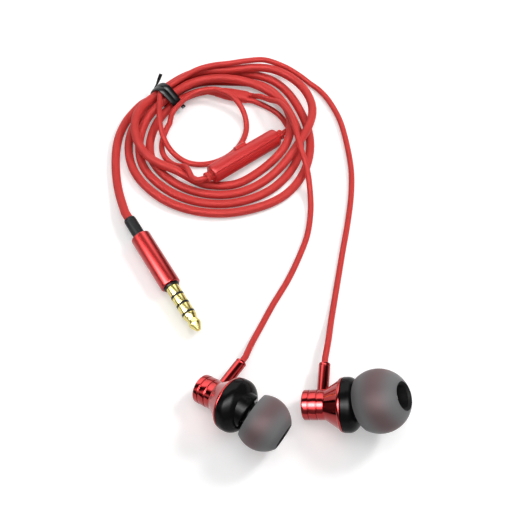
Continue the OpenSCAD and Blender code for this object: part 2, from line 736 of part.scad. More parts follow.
module terminal_board(side) {
    color("#1f5a3a") on_bud(side) rod(terminal_d, yoke_back - terminal_t, yoke_back);
}

plug_lead();
main_coil();
left_cord();
remote_cord();
right_cord_coil();
right_cord_run();
barrel();
strain_relief();
collar();
inner_mould();
jack_sleeve();
jack_ring_2();
jack_ring_1();
jack_tip();
jack_insulators();
splitter();
twist_tie();
case_lower();
case_upper();
button();
board();
switch_body();
switch_plunger();
mic();
nub(-1);  // nub_left
nub(1);  // nub_right
housing(-1);  // left_housing
rear_cap(-1);  // left_rear_cap
front_shell(-1);  // left_front_shell
nozzle_mesh(-1);  // left_nozzle_mesh
ear_tip(-1);  // left_ear_tip
driver_frame(-1);  // left_driver_frame
yoke(-1);  // left_yoke
magnet(-1);  // left_magnet
voice_coil(-1);  // left_voice_coil
diaphragm(-1);  // left_diaphragm
terminal_board(-1);  // left_terminal_board
stem(-1);  // left_stem
stem_bush(-1);  // left_stem_bush
housing(1);  // right_housing
rear_cap(1);  // right_rear_cap
front_shell(1);  // right_front_shell
nozzle_mesh(1);  // right_nozzle_mesh
ear_tip(1);  // right_ear_tip
driver_frame(1);  // right_driver_frame
yoke(1);  // right_yoke
magnet(1);  // right_magnet
voice_coil(1);  // right_voice_coil
diaphragm(1);  // right_diaphragm
terminal_board(1);  // right_terminal_board
stem(1);  // right_stem
stem_bush(1);  // right_stem_bush
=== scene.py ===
"""Wired earphones with an in-line remote, coiled and tied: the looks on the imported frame.

Lengths are metres, +Z is up and the object rests on z = 0. Run main() to build everything.
"""

import math

import bmesh
import bpy
from bpy.props import FloatProperty, FloatVectorProperty, PointerProperty
from mathutils import Matrix, Vector
from mathutils.geometry import convex_hull_2d


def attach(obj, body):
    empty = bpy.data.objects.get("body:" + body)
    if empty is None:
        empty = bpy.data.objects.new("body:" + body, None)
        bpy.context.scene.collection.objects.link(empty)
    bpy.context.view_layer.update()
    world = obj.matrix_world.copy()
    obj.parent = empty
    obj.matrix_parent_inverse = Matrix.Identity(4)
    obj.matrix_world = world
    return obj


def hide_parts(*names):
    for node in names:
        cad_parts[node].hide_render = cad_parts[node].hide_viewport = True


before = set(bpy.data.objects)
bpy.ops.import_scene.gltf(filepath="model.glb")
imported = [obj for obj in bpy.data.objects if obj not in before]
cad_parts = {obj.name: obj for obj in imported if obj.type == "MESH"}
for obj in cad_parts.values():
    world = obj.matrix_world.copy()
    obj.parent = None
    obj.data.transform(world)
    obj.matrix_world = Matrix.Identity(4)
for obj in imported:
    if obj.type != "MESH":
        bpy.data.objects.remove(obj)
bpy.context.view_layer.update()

bl_info = {
    "name": "Wired Earphones",
    "version": (1, 0, 0),
    "blender": (4, 5, 0),
    "location": "View3D > Sidebar > Earphones",
    "description": "Builds a pair of wired earphones, piece by piece, on their packed frame",
    "category": "Object",
}

# The root body, the sides, and the counts of steps round or along the shapes
BODY = "set"
SIDES = ((-1, "left"), (1, "right"))
ROUND_STEPS = 96
SMALL_STEPS = 48
STEM_STEPS = 64
VENT_STEPS = 32
TIE_STEPS = 72
RIBBON_STEPS = 16
WIRE_STEPS = 12
ARC_STEPS = 28
# The least angle of a sharp edge, tolerances in metres, and white
CREASE = math.radians(32)
MERGE = 5e-7
ON_PLANE = 1e-7
WHITE = (1, 1, 1, 1)

# Where the pieces stand: a point, then roll, pitch up and heading in degrees
RIGHT_BUD = ((0.01037, -0.00043, 0.0063), (-8, 16, -4))
LEFT_BUD = ((-0.01603, -0.00033, 0.00693), (-8, 22, -32))
PLUG = ((-0.0325, 0.03183, 0.0027), (0, 0, -58))
REMOTE = ((-0.0138, 0.07053, 0.004), (-55, -5.5, 37.5))
SPLITTER = ((-0.0226, 0.09413, 0.0014), (0, 0, -12))

# Fits between pieces, and sizes that more than one piece follows
FIT = 0.00003
ROOT_RADIUS = 0.00153
BAND_LAP = 0.00007
BAND_RISE = 0.00003
SPIGOT_STEP = 0.00075
SPLITTER_LENGTH = 0.01
SPLITTER_RADIUS = 0.0014
CORD_SPREAD = 0.56
# Places and slants on the nozzles, in metres and degrees, and the turn of the left tip's painted
# glow and painted shade bands
NOZZLE_ROOT = 0.004
NOZZLE_LEAN = -24
VENT_ALONG = -0.00045
VENT_ANGLE = -75
TIP_FLARE = 0.0006
LEFT_PAINTED_BANDS_SHIFT = 0.1

# The coil: reach from its middle and height at each 30 degrees, clockwise from the tie
COIL_MIDDLE = Vector((-0.022, 0.07843))
TIE_ANGLE = 140
TIE_REACH = 0.0195
STATION = 30
COIL_STEPS = 8
ROUTE_STEPS = 6
EASING_ROUNDS = 44
COIL_REACH = [
    0.0224, 0.0226, 0.0228, 0.0257, 0.0258, 0.0270, 0.0272, 0.0252, 0.0244, 0.0247, 0.0252, 0.0238,
    0.0195, 0.0197, 0.0198, 0.0225, 0.0227, 0.0241, 0.0234, 0.0222, 0.0215, 0.0217, 0.0223, 0.0207,
    0.01805, 0.0182, 0.0186, 0.0204, 0.0216, 0.0204, 0.0169, 0.0164, 0.0157, 0.0163, 0.0208, 0.0230,
    0.0210, 0.0213, 0.0217, 0.0279, 0.0290, 0.0236, 0.0203, 0.0193, 0.0186, 0.0187, 0.0193, 0.0180,
    0.0166, 0.0165,
]
COIL_RISE = [
    0.0018, 0.0014, 0.0012, 0.0012, 0.0012, 0.0012, 0.0012, 0.0012, 0.0012, 0.0012, 0.0012, 0.0013,
    0.0018, 0.0014, 0.0012, 0.0012, 0.0012, 0.0012, 0.0012, 0.0012, 0.0012, 0.0012, 0.0012, 0.0027,
    0.00435, 0.0043, 0.0042, 0.0034, 0.0041, 0.0042, 0.0013, 0.0012, 0.0012, 0.0036, 0.0043, 0.0050,
    0.00435, 0.0043, 0.0043, 0.0037, 0.0039, 0.0044, 0.0016, 0.0012, 0.0012, 0.0012, 0.0012, 0.0013,
    0.0018, 0.0014,
]
RIGHT_REACH = [
    0.0157, 0.0157, 0.0148, 0.0122, 0.0097, 0.0076, 0.0071, 0.0074, 0.0090, 0.0118, 0.0144, 0.0170,
    0.0195,
]
RIGHT_RISE = [
    0.00395, 0.0042, 0.0043, 0.0026, 0.0008, 0.0008, 0.0008, 0.0008, 0.0008, 0.0008, 0.0022, 0.0052,
    0.0063,
]
# Points between the straight ends of the other cords
LEAD_ROUTE = [
    (-0.0433, 0.08963, 0.0019), (-0.0456, 0.08743, 0.0014), (-0.048, 0.08373, 0.0012),
    (-0.0497, 0.07843, 0.0012), (-0.0501, 0.07253, 0.0012), (-0.0495, 0.06593, 0.0012),
    (-0.0482, 0.05993, 0.0014),
]
LEFT_ROUTE = [
    (-0.0093, 0.09153, 0.0026), (-0.0067, 0.08923, 0.0042), (-0.0039, 0.08693, 0.0059),
    (-0.0012, 0.08243, 0.0067), (0.0004, 0.07703, 0.0069), (0.0015, 0.07243, 0.0063),
    (0.0029, 0.06823, 0.0048), (0.0038, 0.06423, 0.0034), (0.0043, 0.05943, 0.0016),
    (0.0043, 0.05463, 0.0008), (0.0033, 0.04783, 0.0008), (0.0011, 0.04153, 0.0008),
    (-0.0021, 0.03443, 0.0008), (-0.0061, 0.02743, 0.0008), (-0.0093, 0.02123, 0.0009),
    (-0.0116, 0.01643, 0.0018),
]
REMOTE_ROUTE = [
    (-0.0084, 0.08963, 0.0009), (-0.0054, 0.08773, 0.0008), (-0.0031, 0.08523, 0.0008),
    (-0.0018, 0.08263, 0.0011), (-0.0013, 0.08093, 0.0018),
]
RIGHT_COIL_ROUTE = [
    (-0.027, 0.06143, 0.0052), (-0.0283, 0.06303, 0.0049), (-0.0289, 0.06493, 0.005),
    (-0.0298, 0.06693, 0.0044), (-0.0317, 0.06803, 0.0023), (-0.0341, 0.06943, 0.0011),
    (-0.0368, 0.07183, 0.0008), (-0.0384, 0.07563, 0.0008), (-0.0372, 0.08083, 0.0012),
    (-0.0363, 0.08493, 0.0033),
]
RIGHT_ROUTE = [
    (-0.0289, 0.09743, 0.0065), (-0.0238, 0.09953, 0.0065), (-0.0181, 0.10053, 0.0064),
    (-0.0136, 0.10153, 0.0062), (-0.0081, 0.10253, 0.0054), (-0.0025, 0.10163, 0.0036),
    (0.0019, 0.09993, 0.0018), (0.0053, 0.09753, 0.0008), (0.0082, 0.09483, 0.0008),
    (0.0109, 0.09083, 0.0008), (0.0136, 0.08433, 0.0008), (0.0152, 0.07613, 0.0008),
    (0.016, 0.06783, 0.0008), (0.0156, 0.05983, 0.0008), (0.0143, 0.05143, 0.0008),
    (0.0126, 0.04303, 0.0008), (0.0112, 0.03583, 0.0008), (0.0098, 0.02863, 0.0008),
    (0.0086, 0.02243, 0.0014), (0.0076, 0.01683, 0.003),
]


def length_of(name, value, description):
    """A size in metres that a user may change."""
    return FloatProperty(
        name=name, description=description, default=value, min=0.00001, unit="LENGTH", precision=5)


def colour_of(name, value, description):
    """A colour that a user may change."""
    return FloatVectorProperty(
        name=name, description=description, default=value, size=4, min=0, max=1, subtype="COLOR")


class CordSizes(bpy.types.PropertyGroup):
    joined: length_of("Joined cord", 0.0024, "Thickness of the cord from the plug to the splitter")
    single: length_of("Single cord", 0.0016, "Thickness of the cord of each ear")


class PlugSizes(bpy.types.PropertyGroup):
    barrel_diameter: length_of("Barrel diameter", 0.0054, "Outer diameter of the grip barrel")
    barrel_length: length_of("Barrel length", 0.0167, "Length of the grip barrel")
    relief_diameter: length_of("Relief diameter", 0.0033, "Outer diameter of the strain relief")
    relief_length: length_of("Relief length", 0.0062, "Length of the strain relief")
    collar_diameter: length_of("Collar diameter", 0.0042, "Diameter of the black washer")
    collar_thickness: length_of("Collar thickness", 0.0006, "Thickness of the black washer")
    jack_diameter: length_of("Jack diameter", 0.0035, "Diameter of the contacts")
    jack_length: length_of("Jack length", 0.0145, "Length of the jack beyond the barrel")
    first_band: length_of("First band", 0.0032, "Distance from the barrel to the first black band")
    ring_length: length_of("Ring length", 0.0023, "Length of each ring contact")
    band_width: length_of("Band width", 0.0005, "Width of each black band")


class RemoteSizes(bpy.types.PropertyGroup):
    case_diameter: length_of("Case diameter", 0.0053, "Outer diameter of the case")
    case_length: length_of("Case length", 0.0225, "Length of the case")
    grip_diameter: length_of("Grip diameter", 0.0029, "Diameter of the cord grips")
    grip_length: length_of("Grip length", 0.002, "Length of each cord grip outside the case")
    button_length: length_of("Button length", 0.0036, "Length of the button along the case")
    button_width: length_of("Button width", 0.0018, "Width of the button across the case")
    button_rise: length_of("Button rise", 0.0008, "Height of the button above the case")


class EarbudSizes(bpy.types.PropertyGroup):
    housing_diameter: length_of("Housing diameter", 0.0073, "Outer diameter of the barrel")
    housing_length: length_of("Housing length", 0.0097, "Length from the back to the rim")
    cone_length: length_of("Cone length", 0.0043, "Length of the flared cone")
    rim_diameter: length_of("Rim diameter", 0.013, "Diameter of the rim of the cone")
    groove_start: length_of("Groove start", 0.0015, "Distance from the back to the first groove")
    groove_pitch: length_of("Groove pitch", 0.002, "Distance between the grooves")
    groove_width: length_of("Groove width", 0.0003, "Width of a groove")
    groove_depth: length_of("Groove depth", 0.0002, "Depth of a groove")
    stem_diameter: length_of("Stem diameter", 0.0029, "Outer diameter of the stem")
    stem_bore: length_of("Stem bore", 0.002, "Bore of the stem")
    stem_place: length_of("Stem place", 0.0044, "Distance from the back to the stem's axis")
    stem_reach: length_of("Stem reach", 0.0108, "Reach of the stem from the barrel's axis")
    front_diameter: length_of("Front diameter", 0.0132, "Diameter of the black front")
    front_band: length_of("Front band", 0.0012, "Width of the straight band of the front")
    dome_rise: length_of("Dome rise", 0.0037, "Height of the dome above its band")
    neck_diameter: length_of("Neck diameter", 0.0052, "Diameter of the nozzle's neck")
    lip_diameter: length_of("Lip diameter", 0.0055, "Diameter of the nozzle's lip")
    nozzle_length: length_of("Nozzle length", 0.009, "Length of the nozzle beyond the dome")
    boss_diameter: length_of("Boss diameter", 0.0086, "Diameter of the root of the nozzle")
    vent_diameter: length_of("Vent diameter", 0.0011, "Diameter of the vent in the boss")
    right_tip: length_of("Right tip", 0.015, "Outer diameter of the right ear tip")
    left_tip: length_of("Left tip", 0.013, "Outer diameter of the left ear tip")
    tip_wall: length_of("Tip wall", 0.00065, "Wall of an ear tip's skirt")
    tip_place: length_of("Tip place", 0.0052, "Distance from the dome to the middle of a tip")
    skirt_reach: length_of("Skirt reach", 0.0034, "Reach of the skirt behind the tip's middle")


class Colours(bpy.types.PropertyGroup):
    cord: colour_of("Cord", (0.55, 0.047, 0.042, 1), "Red of the soft cords")
    case: colour_of("Remote", (0.5, 0.022, 0.021, 1), "Red of the remote's mouldings")
    metal: colour_of("Red metal", (0.32, 0.009, 0.01, 1), "Red of the anodised metal")
    satin: colour_of("Satin metal", (0.4, 0.012, 0.012, 1), "Red of the plug's barrel")
    black: colour_of("Black", (0.006, 0.006, 0.0065, 1), "Black of the mouldings")
    gold: colour_of("Gold", (0.7, 0.6, 0.22, 1), "Gold of the plug's contacts")
    smoke: colour_of("Smoke", (0.16, 0.16, 0.163, 1), "Grey of the ear tips")
    # Used only for the painted glow of the inner tube through a tip's rubber
    core: colour_of("Tip core", (0.13, 0.055, 0.059, 1), "Dull red of the tube inside an ear tip")


class StageSettings(bpy.types.PropertyGroup):
    key: FloatProperty(
        name="Key light", description="Power of the main lamp", default=0.9, min=0, unit="POWER")
    overhead: FloatProperty(
        name="Overhead light", description="Power of the wide lamp above", default=0.62, min=0,
        unit="POWER")
    fill: FloatProperty(
        name="Fill", description="Brightness of the surroundings on the object", default=0.42,
        min=0)
    card: FloatProperty(
        name="Softbox", description="Brightness of the softbox that polished faces mirror",
        default=32.0, min=0)
    view_angle: FloatProperty(
        name="View angle", description="Angle that the camera takes in",
        default=math.radians(36), subtype="ANGLE")


# ---------------------------------------------------------------- paths of the cords

def between(a, b, c, d, t):
    """A smooth curve from b to c, with a and d as their neighbours."""
    return 0.5 * (2 * b + (c - a) * t + (2 * a - 5 * b + 4 * c - d) * t * t
                  + (3 * b - a - 3 * c + d) * t ** 3)


def curve_through(points, steps):
    """Points on a smooth curve through all the given ones."""
    last = len(points) - 1
    made = []
    for i in range(last):
        a, b = points[max(i - 1, 0)], points[i]
        c, d = points[i + 1], points[min(i + 2, last)]
        made += [between(a, b, c, d, s / steps) for s in range(steps)]
    return made + [points[last]]


def laid(points, thickness):
    """The same points, none lower than a cord of this thickness can lie."""
    return [Vector((p[0], p[1], max(p[2], thickness / 2))) for p in points]


def wound(reach, rise):
    """Points round the coil's middle."""
    made = []
    stations = zip(curve_through(reach, COIL_STEPS), curve_through(rise, COIL_STEPS))
    for i, (r, z) in enumerate(stations):
        a = math.radians(TIE_ANGLE - i * STATION / COIL_STEPS)
        made.append(Vector((COIL_MIDDLE.x + r * math.cos(a), COIL_MIDDLE.y + r * math.sin(a), z)))
    return made


def routed(start, points, end, thickness):
    """A path with straight ends: two points, a smooth curve, two points."""
    line = [Vector(p) for p in [start[1], *points, end[0]]]
    return laid([start[0], *curve_through(line, ROUTE_STEPS), end[1]], thickness)


def eased(points):
    """The same points with their sideways kinks taken out; heights and ends stay."""
    for _ in range(EASING_ROUNDS):
        points = [points[0], *[
            Vector(((a.x + 2 * b.x + c.x) / 4, (a.y + 2 * b.y + c.y) / 4, b.z))
            for a, b, c in zip(points, points[1:], points[2:])], points[-1]]
    return points


def length_along(points):
    """The length of a line through these points."""
    return sum((b - a).length for a, b in zip(points, points[1:]))


# ---------------------------------------------------------------- places

def turned(degrees, axis):
    """The matrix of a turn about an axis."""
    return Matrix.Rotation(math.radians(degrees), 4, axis)


def standing(place, mirrored=False):
    """The matrix that takes a piece from its own frame, with +X along it, to its place."""
    at, (roll, pitch, heading) = place
    made = Matrix.Translation(at) @ turned(heading, "Z") @ turned(-pitch, "Y") @ turned(roll, "X")
    return made @ Matrix.Diagonal((1, 1, -1, 1)) if mirrored else made


def bud_frame(side):
    """The frame of an earbud, its +X out of the front; the left one is mirrored."""
    return standing(RIGHT_BUD if side > 0 else LEFT_BUD, side < 0)


def nozzle_frame(side):
    """The frame of an earbud's nozzle, its +X towards the mouth."""
    return bud_frame(side) @ Matrix.Translation((NOZZLE_ROOT, 0, 0)) @ turned(NOZZLE_LEAN, "Y")


def stem_line(side, beyond):
    """A point on a stem's axis, this far beyond its mouth."""
    s = bpy.context.scene.earbud_sizes
    return bud_frame(side) @ Vector((s.stem_place - s.housing_length, s.stem_reach + beyond, 0))


# ---------------------------------------------------------------- finishes

def add_node(tree, kind, inputs, **settings):
    """A new shader node with these settings and inputs."""
    node = tree.nodes.new("ShaderNode" + kind)
    for name, value in settings.items():
        setattr(node, name, value)
    feed(tree, node, inputs)
    return node


def feed(tree, node, inputs):
    """Gives a node's inputs, by name or number, a value or another node's output."""
    for name, value in inputs.items():
        if isinstance(value, bpy.types.NodeSocket):
            tree.links.new(value, node.inputs[name])
        else:
            node.inputs[name].default_value = value


def ramped(tree, value, low, high, first, last, smooth=True):
    """A value that goes from first to last while the given one goes from low to high."""
    return add_node(tree, "MapRange", {
        "Value": value, "From Min": low, "From Max": high, "To Min": first, "To Max": last},
        interpolation_type="SMOOTHSTEP" if smooth else "LINEAR").outputs["Result"]


def worked(tree, operation, first, second=0.0):
    """The result of a sum of one or two values."""
    return add_node(tree, "Math", {0: first, 1: second}, operation=operation).outputs[0]


def new_material(name):
    """A new material, its node tree and its shader."""
    made = bpy.data.materials.new(name)
    made.use_nodes = True
    return made, made.node_tree, made.node_tree.nodes["Principled BSDF"]


def node_group(name, inputs, outputs):
    """A new shader node group with these sockets, and its input and output nodes."""
    group = bpy.data.node_groups.new(name, "ShaderNodeTree")
    for socket, kind, value in inputs:
        made = group.interface.new_socket(socket, in_out="INPUT", socket_type="NodeSocket" + kind)
        if value is not None:
            made.default_value = value
    for socket in outputs:
        group.interface.new_socket(socket, in_out="OUTPUT", socket_type="NodeSocketFloat")
    return group, group.nodes.new("NodeGroupInput"), group.nodes.new("NodeGroupOutput")


def fine_grain():
    """Small bumps of a moulded or anodised skin, and a slow change of tone across it."""
    name = "Fine grain"
    if name in bpy.data.node_groups:
        return bpy.data.node_groups[name]
    group, given, out = node_group(
        name, [("Vector", "Vector", None), ("Grain", "Float", 9000.0), ("Patch", "Float", 160.0)],
        ["Height", "Tone"])
    for size, detail, result in (("Grain", 3, "Height"), ("Patch", 2, "Tone")):
        noise = add_node(group, "TexNoise", {
            "Vector": given.outputs["Vector"], "Scale": given.outputs[size], "Detail": detail})
        feed(group, out, {result: noise.outputs["Fac"]})
    return group


def turned_lines():
    """Fine lines that a lathe tool leaves round a turned piece, from its own UV map."""
    name = "Turned lines"
    if name in bpy.data.node_groups:
        return bpy.data.node_groups[name]
    group, given, out = node_group(
        name, [("Vector", "Vector", None), ("Lines", "Float", 9000.0)], ["Height"])
    parts = add_node(group, "SeparateXYZ", {0: given.outputs["Vector"]})
    lines = add_node(group, "TexNoise", {
        "W": parts.outputs["Y"], "Scale": given.outputs["Lines"], "Detail": 2},
        noise_dimensions="1D")
    feed(group, out, {"Height": lines.outputs["Fac"]})
    return group


def coloured(colour):
    """A plain colour, or the one that a user may change under this name."""
    return getattr(bpy.context.scene.colours, colour) if isinstance(colour, str) else colour


def banded(tree, colour, turn, bands):
    """The colour with bands of others, by the second number of the piece's own UV map."""
    angle = add_node(tree, "SeparateXYZ", {0: turn}).outputs["Y"]
    for other, *spans in bands:
        share = ramped(tree, angle, *spans[0])
        for span in spans[1:]:
            share = worked(tree, "MULTIPLY", share, ramped(tree, angle, *span))
        colour = add_node(tree, "Mix", {"Factor": share, "A": colour, "B": coloured(other)},
                          data_type="RGBA").outputs["Result"]
    return colour


def made_finish(name, colour, roughness=0.4, metallic=0.0, coat=0.0, coat_roughness=0.1,
                shade=0.8, grain=9000.0, patch=160.0, bump=0.00001, rough_spread=0.08,
                lines=0.0, bands=(), **sockets):
    """A material of moulded, anodised or plated stuff, with grain, slow tone and tool lines."""
    made, tree, skin = new_material(name)
    colour = coloured(colour)
    place = add_node(tree, "TexCoord", {})
    grained = add_node(tree, "Group", {
        "Vector": place.outputs["Object"], "Grain": grain, "Patch": patch},
        node_tree=fine_grain())
    tone = add_node(tree, "Mix", {
        "Factor": grained.outputs["Tone"], "A": (*[c * shade for c in colour[:3]], 1),
        "B": (*[min(1, c * (2 - shade)) for c in colour[:3]], 1)}, data_type="RGBA")
    normal = add_node(tree, "Bump", {
        "Distance": bump, "Strength": 0.5, "Height": grained.outputs["Height"]})
    if lines:
        cut = add_node(tree, "Group", {"Vector": place.outputs["UV"], "Lines": lines},
                       node_tree=turned_lines())
        normal = add_node(tree, "Bump", {
            "Distance": bump, "Strength": 0.35, "Height": cut.outputs["Height"],
            "Normal": normal.outputs["Normal"]})
    base = tone.outputs["Result"]
    feed(tree, skin, {
        "Metallic": metallic, "Coat Weight": coat, "Coat Roughness": coat_roughness,
        "Base Color": banded(tree, base, place.outputs["UV"], bands) if bands else base,
        "Roughness": ramped(
            tree, grained.outputs["Tone"], 0, 1, max(0.02, roughness - rough_spread),
            roughness + rough_spread, smooth=False),
        "Normal": normal.outputs["Normal"],
        **{socket.replace("_", " "): value for socket, value in sockets.items()}})
    return made


# Painted light of an ear tip, round the tip's axis: a painted glow of the red inner tube through
# the rubber, and painted shade in dark bands beside it.
# The colour, then spans of the angle as a share of half a turn, with its share before and after
PAINTED_SHADE_SMOKE = (0.08, 0.08, 0.082, 1)
PAINTED_TIP_LIGHT = (
    ("core", (0.2, 0.38, 0.0, 0.6), (0.4, 0.57, 1.0, 0.0)),
    (PAINTED_SHADE_SMOKE, (0.1, 0.2, 0.5, 0.0)),
    (PAINTED_SHADE_SMOKE, (0.54, 0.66, 0.0, 0.6)),
)
FINISHES = {
    "cord_skin": dict(
        colour="cord", roughness=0.5, shade=0.93, patch=90, grain=5000, bump=0.000012,
        Specular_IOR_Level=0.17),
    "polished_red": dict(
        colour="metal", roughness=0.12, metallic=1.0, coat=0.4, coat_roughness=0.06, shade=0.95,
        rough_spread=0.04, bump=0.0000007, lines=14000, Coat_IOR=1.62),
    "satin_red": dict(
        colour="satin", roughness=0.3, metallic=1.0, coat=0.5, coat_roughness=0.25, shade=0.96,
        rough_spread=0.02, bump=0.0000003, lines=9000, Coat_IOR=1.62),
    "moulded_red": dict(
        colour="case", shade=0.95, bump=0.000006, patch=120, Specular_IOR_Level=0.35),
    "gloss_black": dict(
        colour="black", roughness=0.16, rough_spread=0.04, bump=0.000001,
        Specular_IOR_Level=0.05),
    "soft_black": dict(
        colour=(0.008, 0.008, 0.0085, 1), roughness=0.42, grain=6000, bump=0.000008,
        Specular_IOR_Level=0.14),
    "hard_black": dict(
        colour=(0.006, 0.006, 0.0065, 1), roughness=0.35, bump=0.000003,
        Specular_IOR_Level=0.2),
    "tie_vinyl": dict(
        colour=(0.004, 0.004, 0.0045, 1), roughness=0.3, bump=0.000008, grain=3000,
        Specular_IOR_Level=0.15),
    # The tip's rubber carries the painted glow and the painted shade bands
    "smoky_rubber": dict(
        colour="smoke", roughness=0.5, shade=0.95, patch=120, bump=0.000004, bands=PAINTED_TIP_LIGHT,
        Specular_IOR_Level=0.12),
    # Near-black of a tip's inner tube, of the faces round its mouth and of a vent's floor: painted
    # shade of these openings
    "tip_core_rubber": dict(
        colour=(0.005, 0.005, 0.005, 1), roughness=0.6, bump=0.000004, Specular_IOR_Level=0.08),
    "plated_gold": dict(
        colour="gold", roughness=0.24, metallic=1.0, shade=0.94, rough_spread=0.03,
        bump=0.0000006, lines=16000),
    "plain_steel": dict(
        colour=(0.55, 0.56, 0.58, 1), roughness=0.3, metallic=1.0, bump=0.000003),
    "magnet_ferrite": dict(colour=(0.24, 0.24, 0.26, 1), roughness=0.35, metallic=1.0),
    "copper_wire": dict(
        colour=(0.72, 0.3, 0.12, 1), roughness=0.3, metallic=1.0, bump=0.00002),
    "amber_film": dict(colour=(0.6, 0.48, 0.27, 1), roughness=0.22, Transmission_Weight=0.4),
    "solder_mask": dict(colour=(0.02, 0.13, 0.06, 1), roughness=0.45),
}


def finish(name):
    """The material of this name, made from the table when it is first asked for."""
    return bpy.data.materials.get(name) or made_finish(name, **FINISHES[name])


# ---------------------------------------------------------------- making shapes

def softened(outline, closed):
    """The outline of (along, radius[, rounding]) points with its named corners rounded."""
    count = len(outline)
    made = []
    for i, point in enumerate(outline):
        here = Vector(point[:2])
        rounding = point[2] if len(point) > 2 else 0
        if not rounding or (not closed and i in (0, count - 1)):
            made.append(here)
            continue
        before = Vector(outline[i - 1][:2]) - here
        after = Vector(outline[(i + 1) % count][:2]) - here
        start = here + before.normalized() * min(rounding, before.length * 0.48)
        end = here + after.normalized() * min(rounding, after.length * 0.48)
        for t in (0, 0.25, 0.5, 0.75, 1):
            made.append(start * (1 - t) ** 2 + here * 2 * t * (1 - t) + end * t ** 2)
    return made


def add_turned(target, outline, place, steps=ROUND_STEPS, index=0):
    """Turns an outline about its own X axis; one that starts off the axis is a closed line."""
    closed = outline[0][1] > 0
    shape = bmesh.new()
    verts = [shape.verts.new((p.x, p.y, 0)) for p in softened(outline, closed)]
    edges = [shape.edges.new(pair) for pair in zip(verts, verts[1:])]
    if closed:
        edges.append(shape.edges.new((verts[-1], verts[0])))
    bmesh.ops.spin(shape, geom=verts + edges, cent=(0, 0, 0), axis=(1, 0, 0),
                   angle=math.tau, steps=steps, use_merge=True, use_duplicate=False)
    bmesh.ops.remove_doubles(shape, verts=shape.verts, dist=MERGE)
    add_map(shape)
    settle(target, shape, place, index)


def add_map(shape):
    """A UV map of a turned piece: the angle round it, and the distance along and out."""
    layer = shape.loops.layers.uv.new("Turned")
    for face in shape.faces:
        angles = [math.atan2(c.vert.co.z, c.vert.co.y) / math.tau for c in face.loops]
        for corner, angle in zip(face.loops, angles):
            co = corner.vert.co
            if max(angles) - angle > 0.5:
                angle += 1
            corner[layer].uv = (angle, co.x + math.hypot(co.y, co.z))


def settle(target, shape, place, index=0):
    """Puts a shape in its place, faces outwards, and adds it to the target mesh."""
    shape.transform(place)
    bmesh.ops.recalc_face_normals(shape, faces=shape.faces)
    for face in shape.faces:
        face.material_index = index
    mesh = as_mesh("settling", shape)
    target.from_mesh(mesh)
    bpy.data.meshes.remove(mesh)


def as_mesh(name, shape):
    """The mesh of a finished shape."""
    mesh = bpy.data.meshes.new(name)
    shape.to_mesh(mesh)
    shape.free()
    return mesh


def capped(shape):
    """Closes the open rims of a shape with flat faces."""
    bmesh.ops.holes_fill(shape, edges=[e for e in shape.edges if e.is_boundary], sides=0)


def sliced(shape, point, normal):
    """Takes away what lies beyond a plane, on the side of its normal, and closes the cut."""
    bmesh.ops.bisect_plane(
        shape, geom=[*shape.verts, *shape.edges, *shape.faces], dist=ON_PLANE,
        plane_co=point, plane_no=normal, clear_outer=True)
    bmesh.ops.remove_doubles(shape, verts=shape.verts, dist=MERGE)
    capped(shape)


def bridged(shape, rings):
    """Joins rings of verts, each to the next."""
    for pair in zip(rings, rings[1:]):
        edges = [shape.edges.get((ring[k - 1], ring[k])) for ring in pair for k in range(len(ring))]
        bmesh.ops.bridge_loops(shape, edges=edges)


def add_block(target, size, at, place, rounding):
    """A box with rounded edges, its middle at a point of the piece's own frame."""
    block = bmesh.new()
    bmesh.ops.create_cube(block, size=1)
    bmesh.ops.scale(block, vec=size, verts=block.verts)
    bmesh.ops.bevel(block, geom=block.edges, offset=rounding, affect="EDGES", segments=4,
                    profile=0.5, material=-1)
    bmesh.ops.translate(block, vec=at, verts=block.verts)
    block.loops.layers.uv.new("Turned")
    settle(target, block, place)


def add_tube(target, path, thickness, place, squash=1.0):
    """A round or flattened wire along a path, with flat ends."""
    tube = bmesh.new()
    rings = []
    side = None
    for i, point in enumerate(path):
        along = (path[min(i + 1, len(path) - 1)] - path[max(i - 1, 0)]).normalized()
        if side is None:
            side = along.cross(Vector((0, 0, 1)))
        side = (side - along * side.dot(along)).normalized()
        turn = Matrix((side, side.cross(along), along)).transposed().to_4x4()
        rings.append(bmesh.ops.create_circle(
            tube, cap_ends=False, segments=WIRE_STEPS, radius=thickness / 2,
            matrix=Matrix.Translation(point) @ turn @ Matrix.Diagonal((1, squash, 1, 1)))["verts"])
    bridged(tube, rings)
    capped(tube)
    tube.loops.layers.uv.new("Turned")
    settle(target, tube, place)


def arc(radius, first, last):
    """Outline points on a ball round the middle, from one angle off the axis to another."""
    angles = [first + (last - first) * k / ARC_STEPS for k in range(ARC_STEPS + 1)]
    return [(radius * math.cos(a), radius * math.sin(a)) for a in angles]


# ---------------------------------------------------------------- handing pieces over

def linked(name, data):
    """A new object of this data, in the scene."""
    made = bpy.data.objects.new(name, data)
    bpy.context.scene.collection.objects.link(made)
    return made


def aim(thing, at, target):
    """Puts a camera or a lamp at a point, looking at another."""
    thing.location = at
    thing.rotation_euler = (Vector(target) - thing.location).to_track_quat("-Z", "Y").to_euler()


def handed_over(name, data, finishes, nodes, body=BODY):
    """The finished object of a mesh or curve, on its body and in place of its CAD nodes."""
    for word in finishes:
        data.materials.append(finish(word))
    piece = linked(name, data)
    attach(piece, body)
    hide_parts(*nodes)
    return piece


def made_piece(name, node, finishes, shape, body=BODY):
    """Makes the finished object from a mesh in place, to stand for a node."""
    for edge in shape.edges:
        if len(edge.link_faces) == 2 and edge.calc_face_angle(0) > CREASE:
            edge.smooth = False
    for face in shape.faces:
        face.smooth = True
    return handed_over(name, as_mesh(name, shape), finishes, [node], body)


def turned_piece(name, node, finishes, outline, place, steps=ROUND_STEPS):
    """Makes a piece of one turned outline, to stand for a node."""
    shape = bmesh.new()
    add_turned(shape, outline, place, steps)
    made_piece(name, node, finishes, shape)


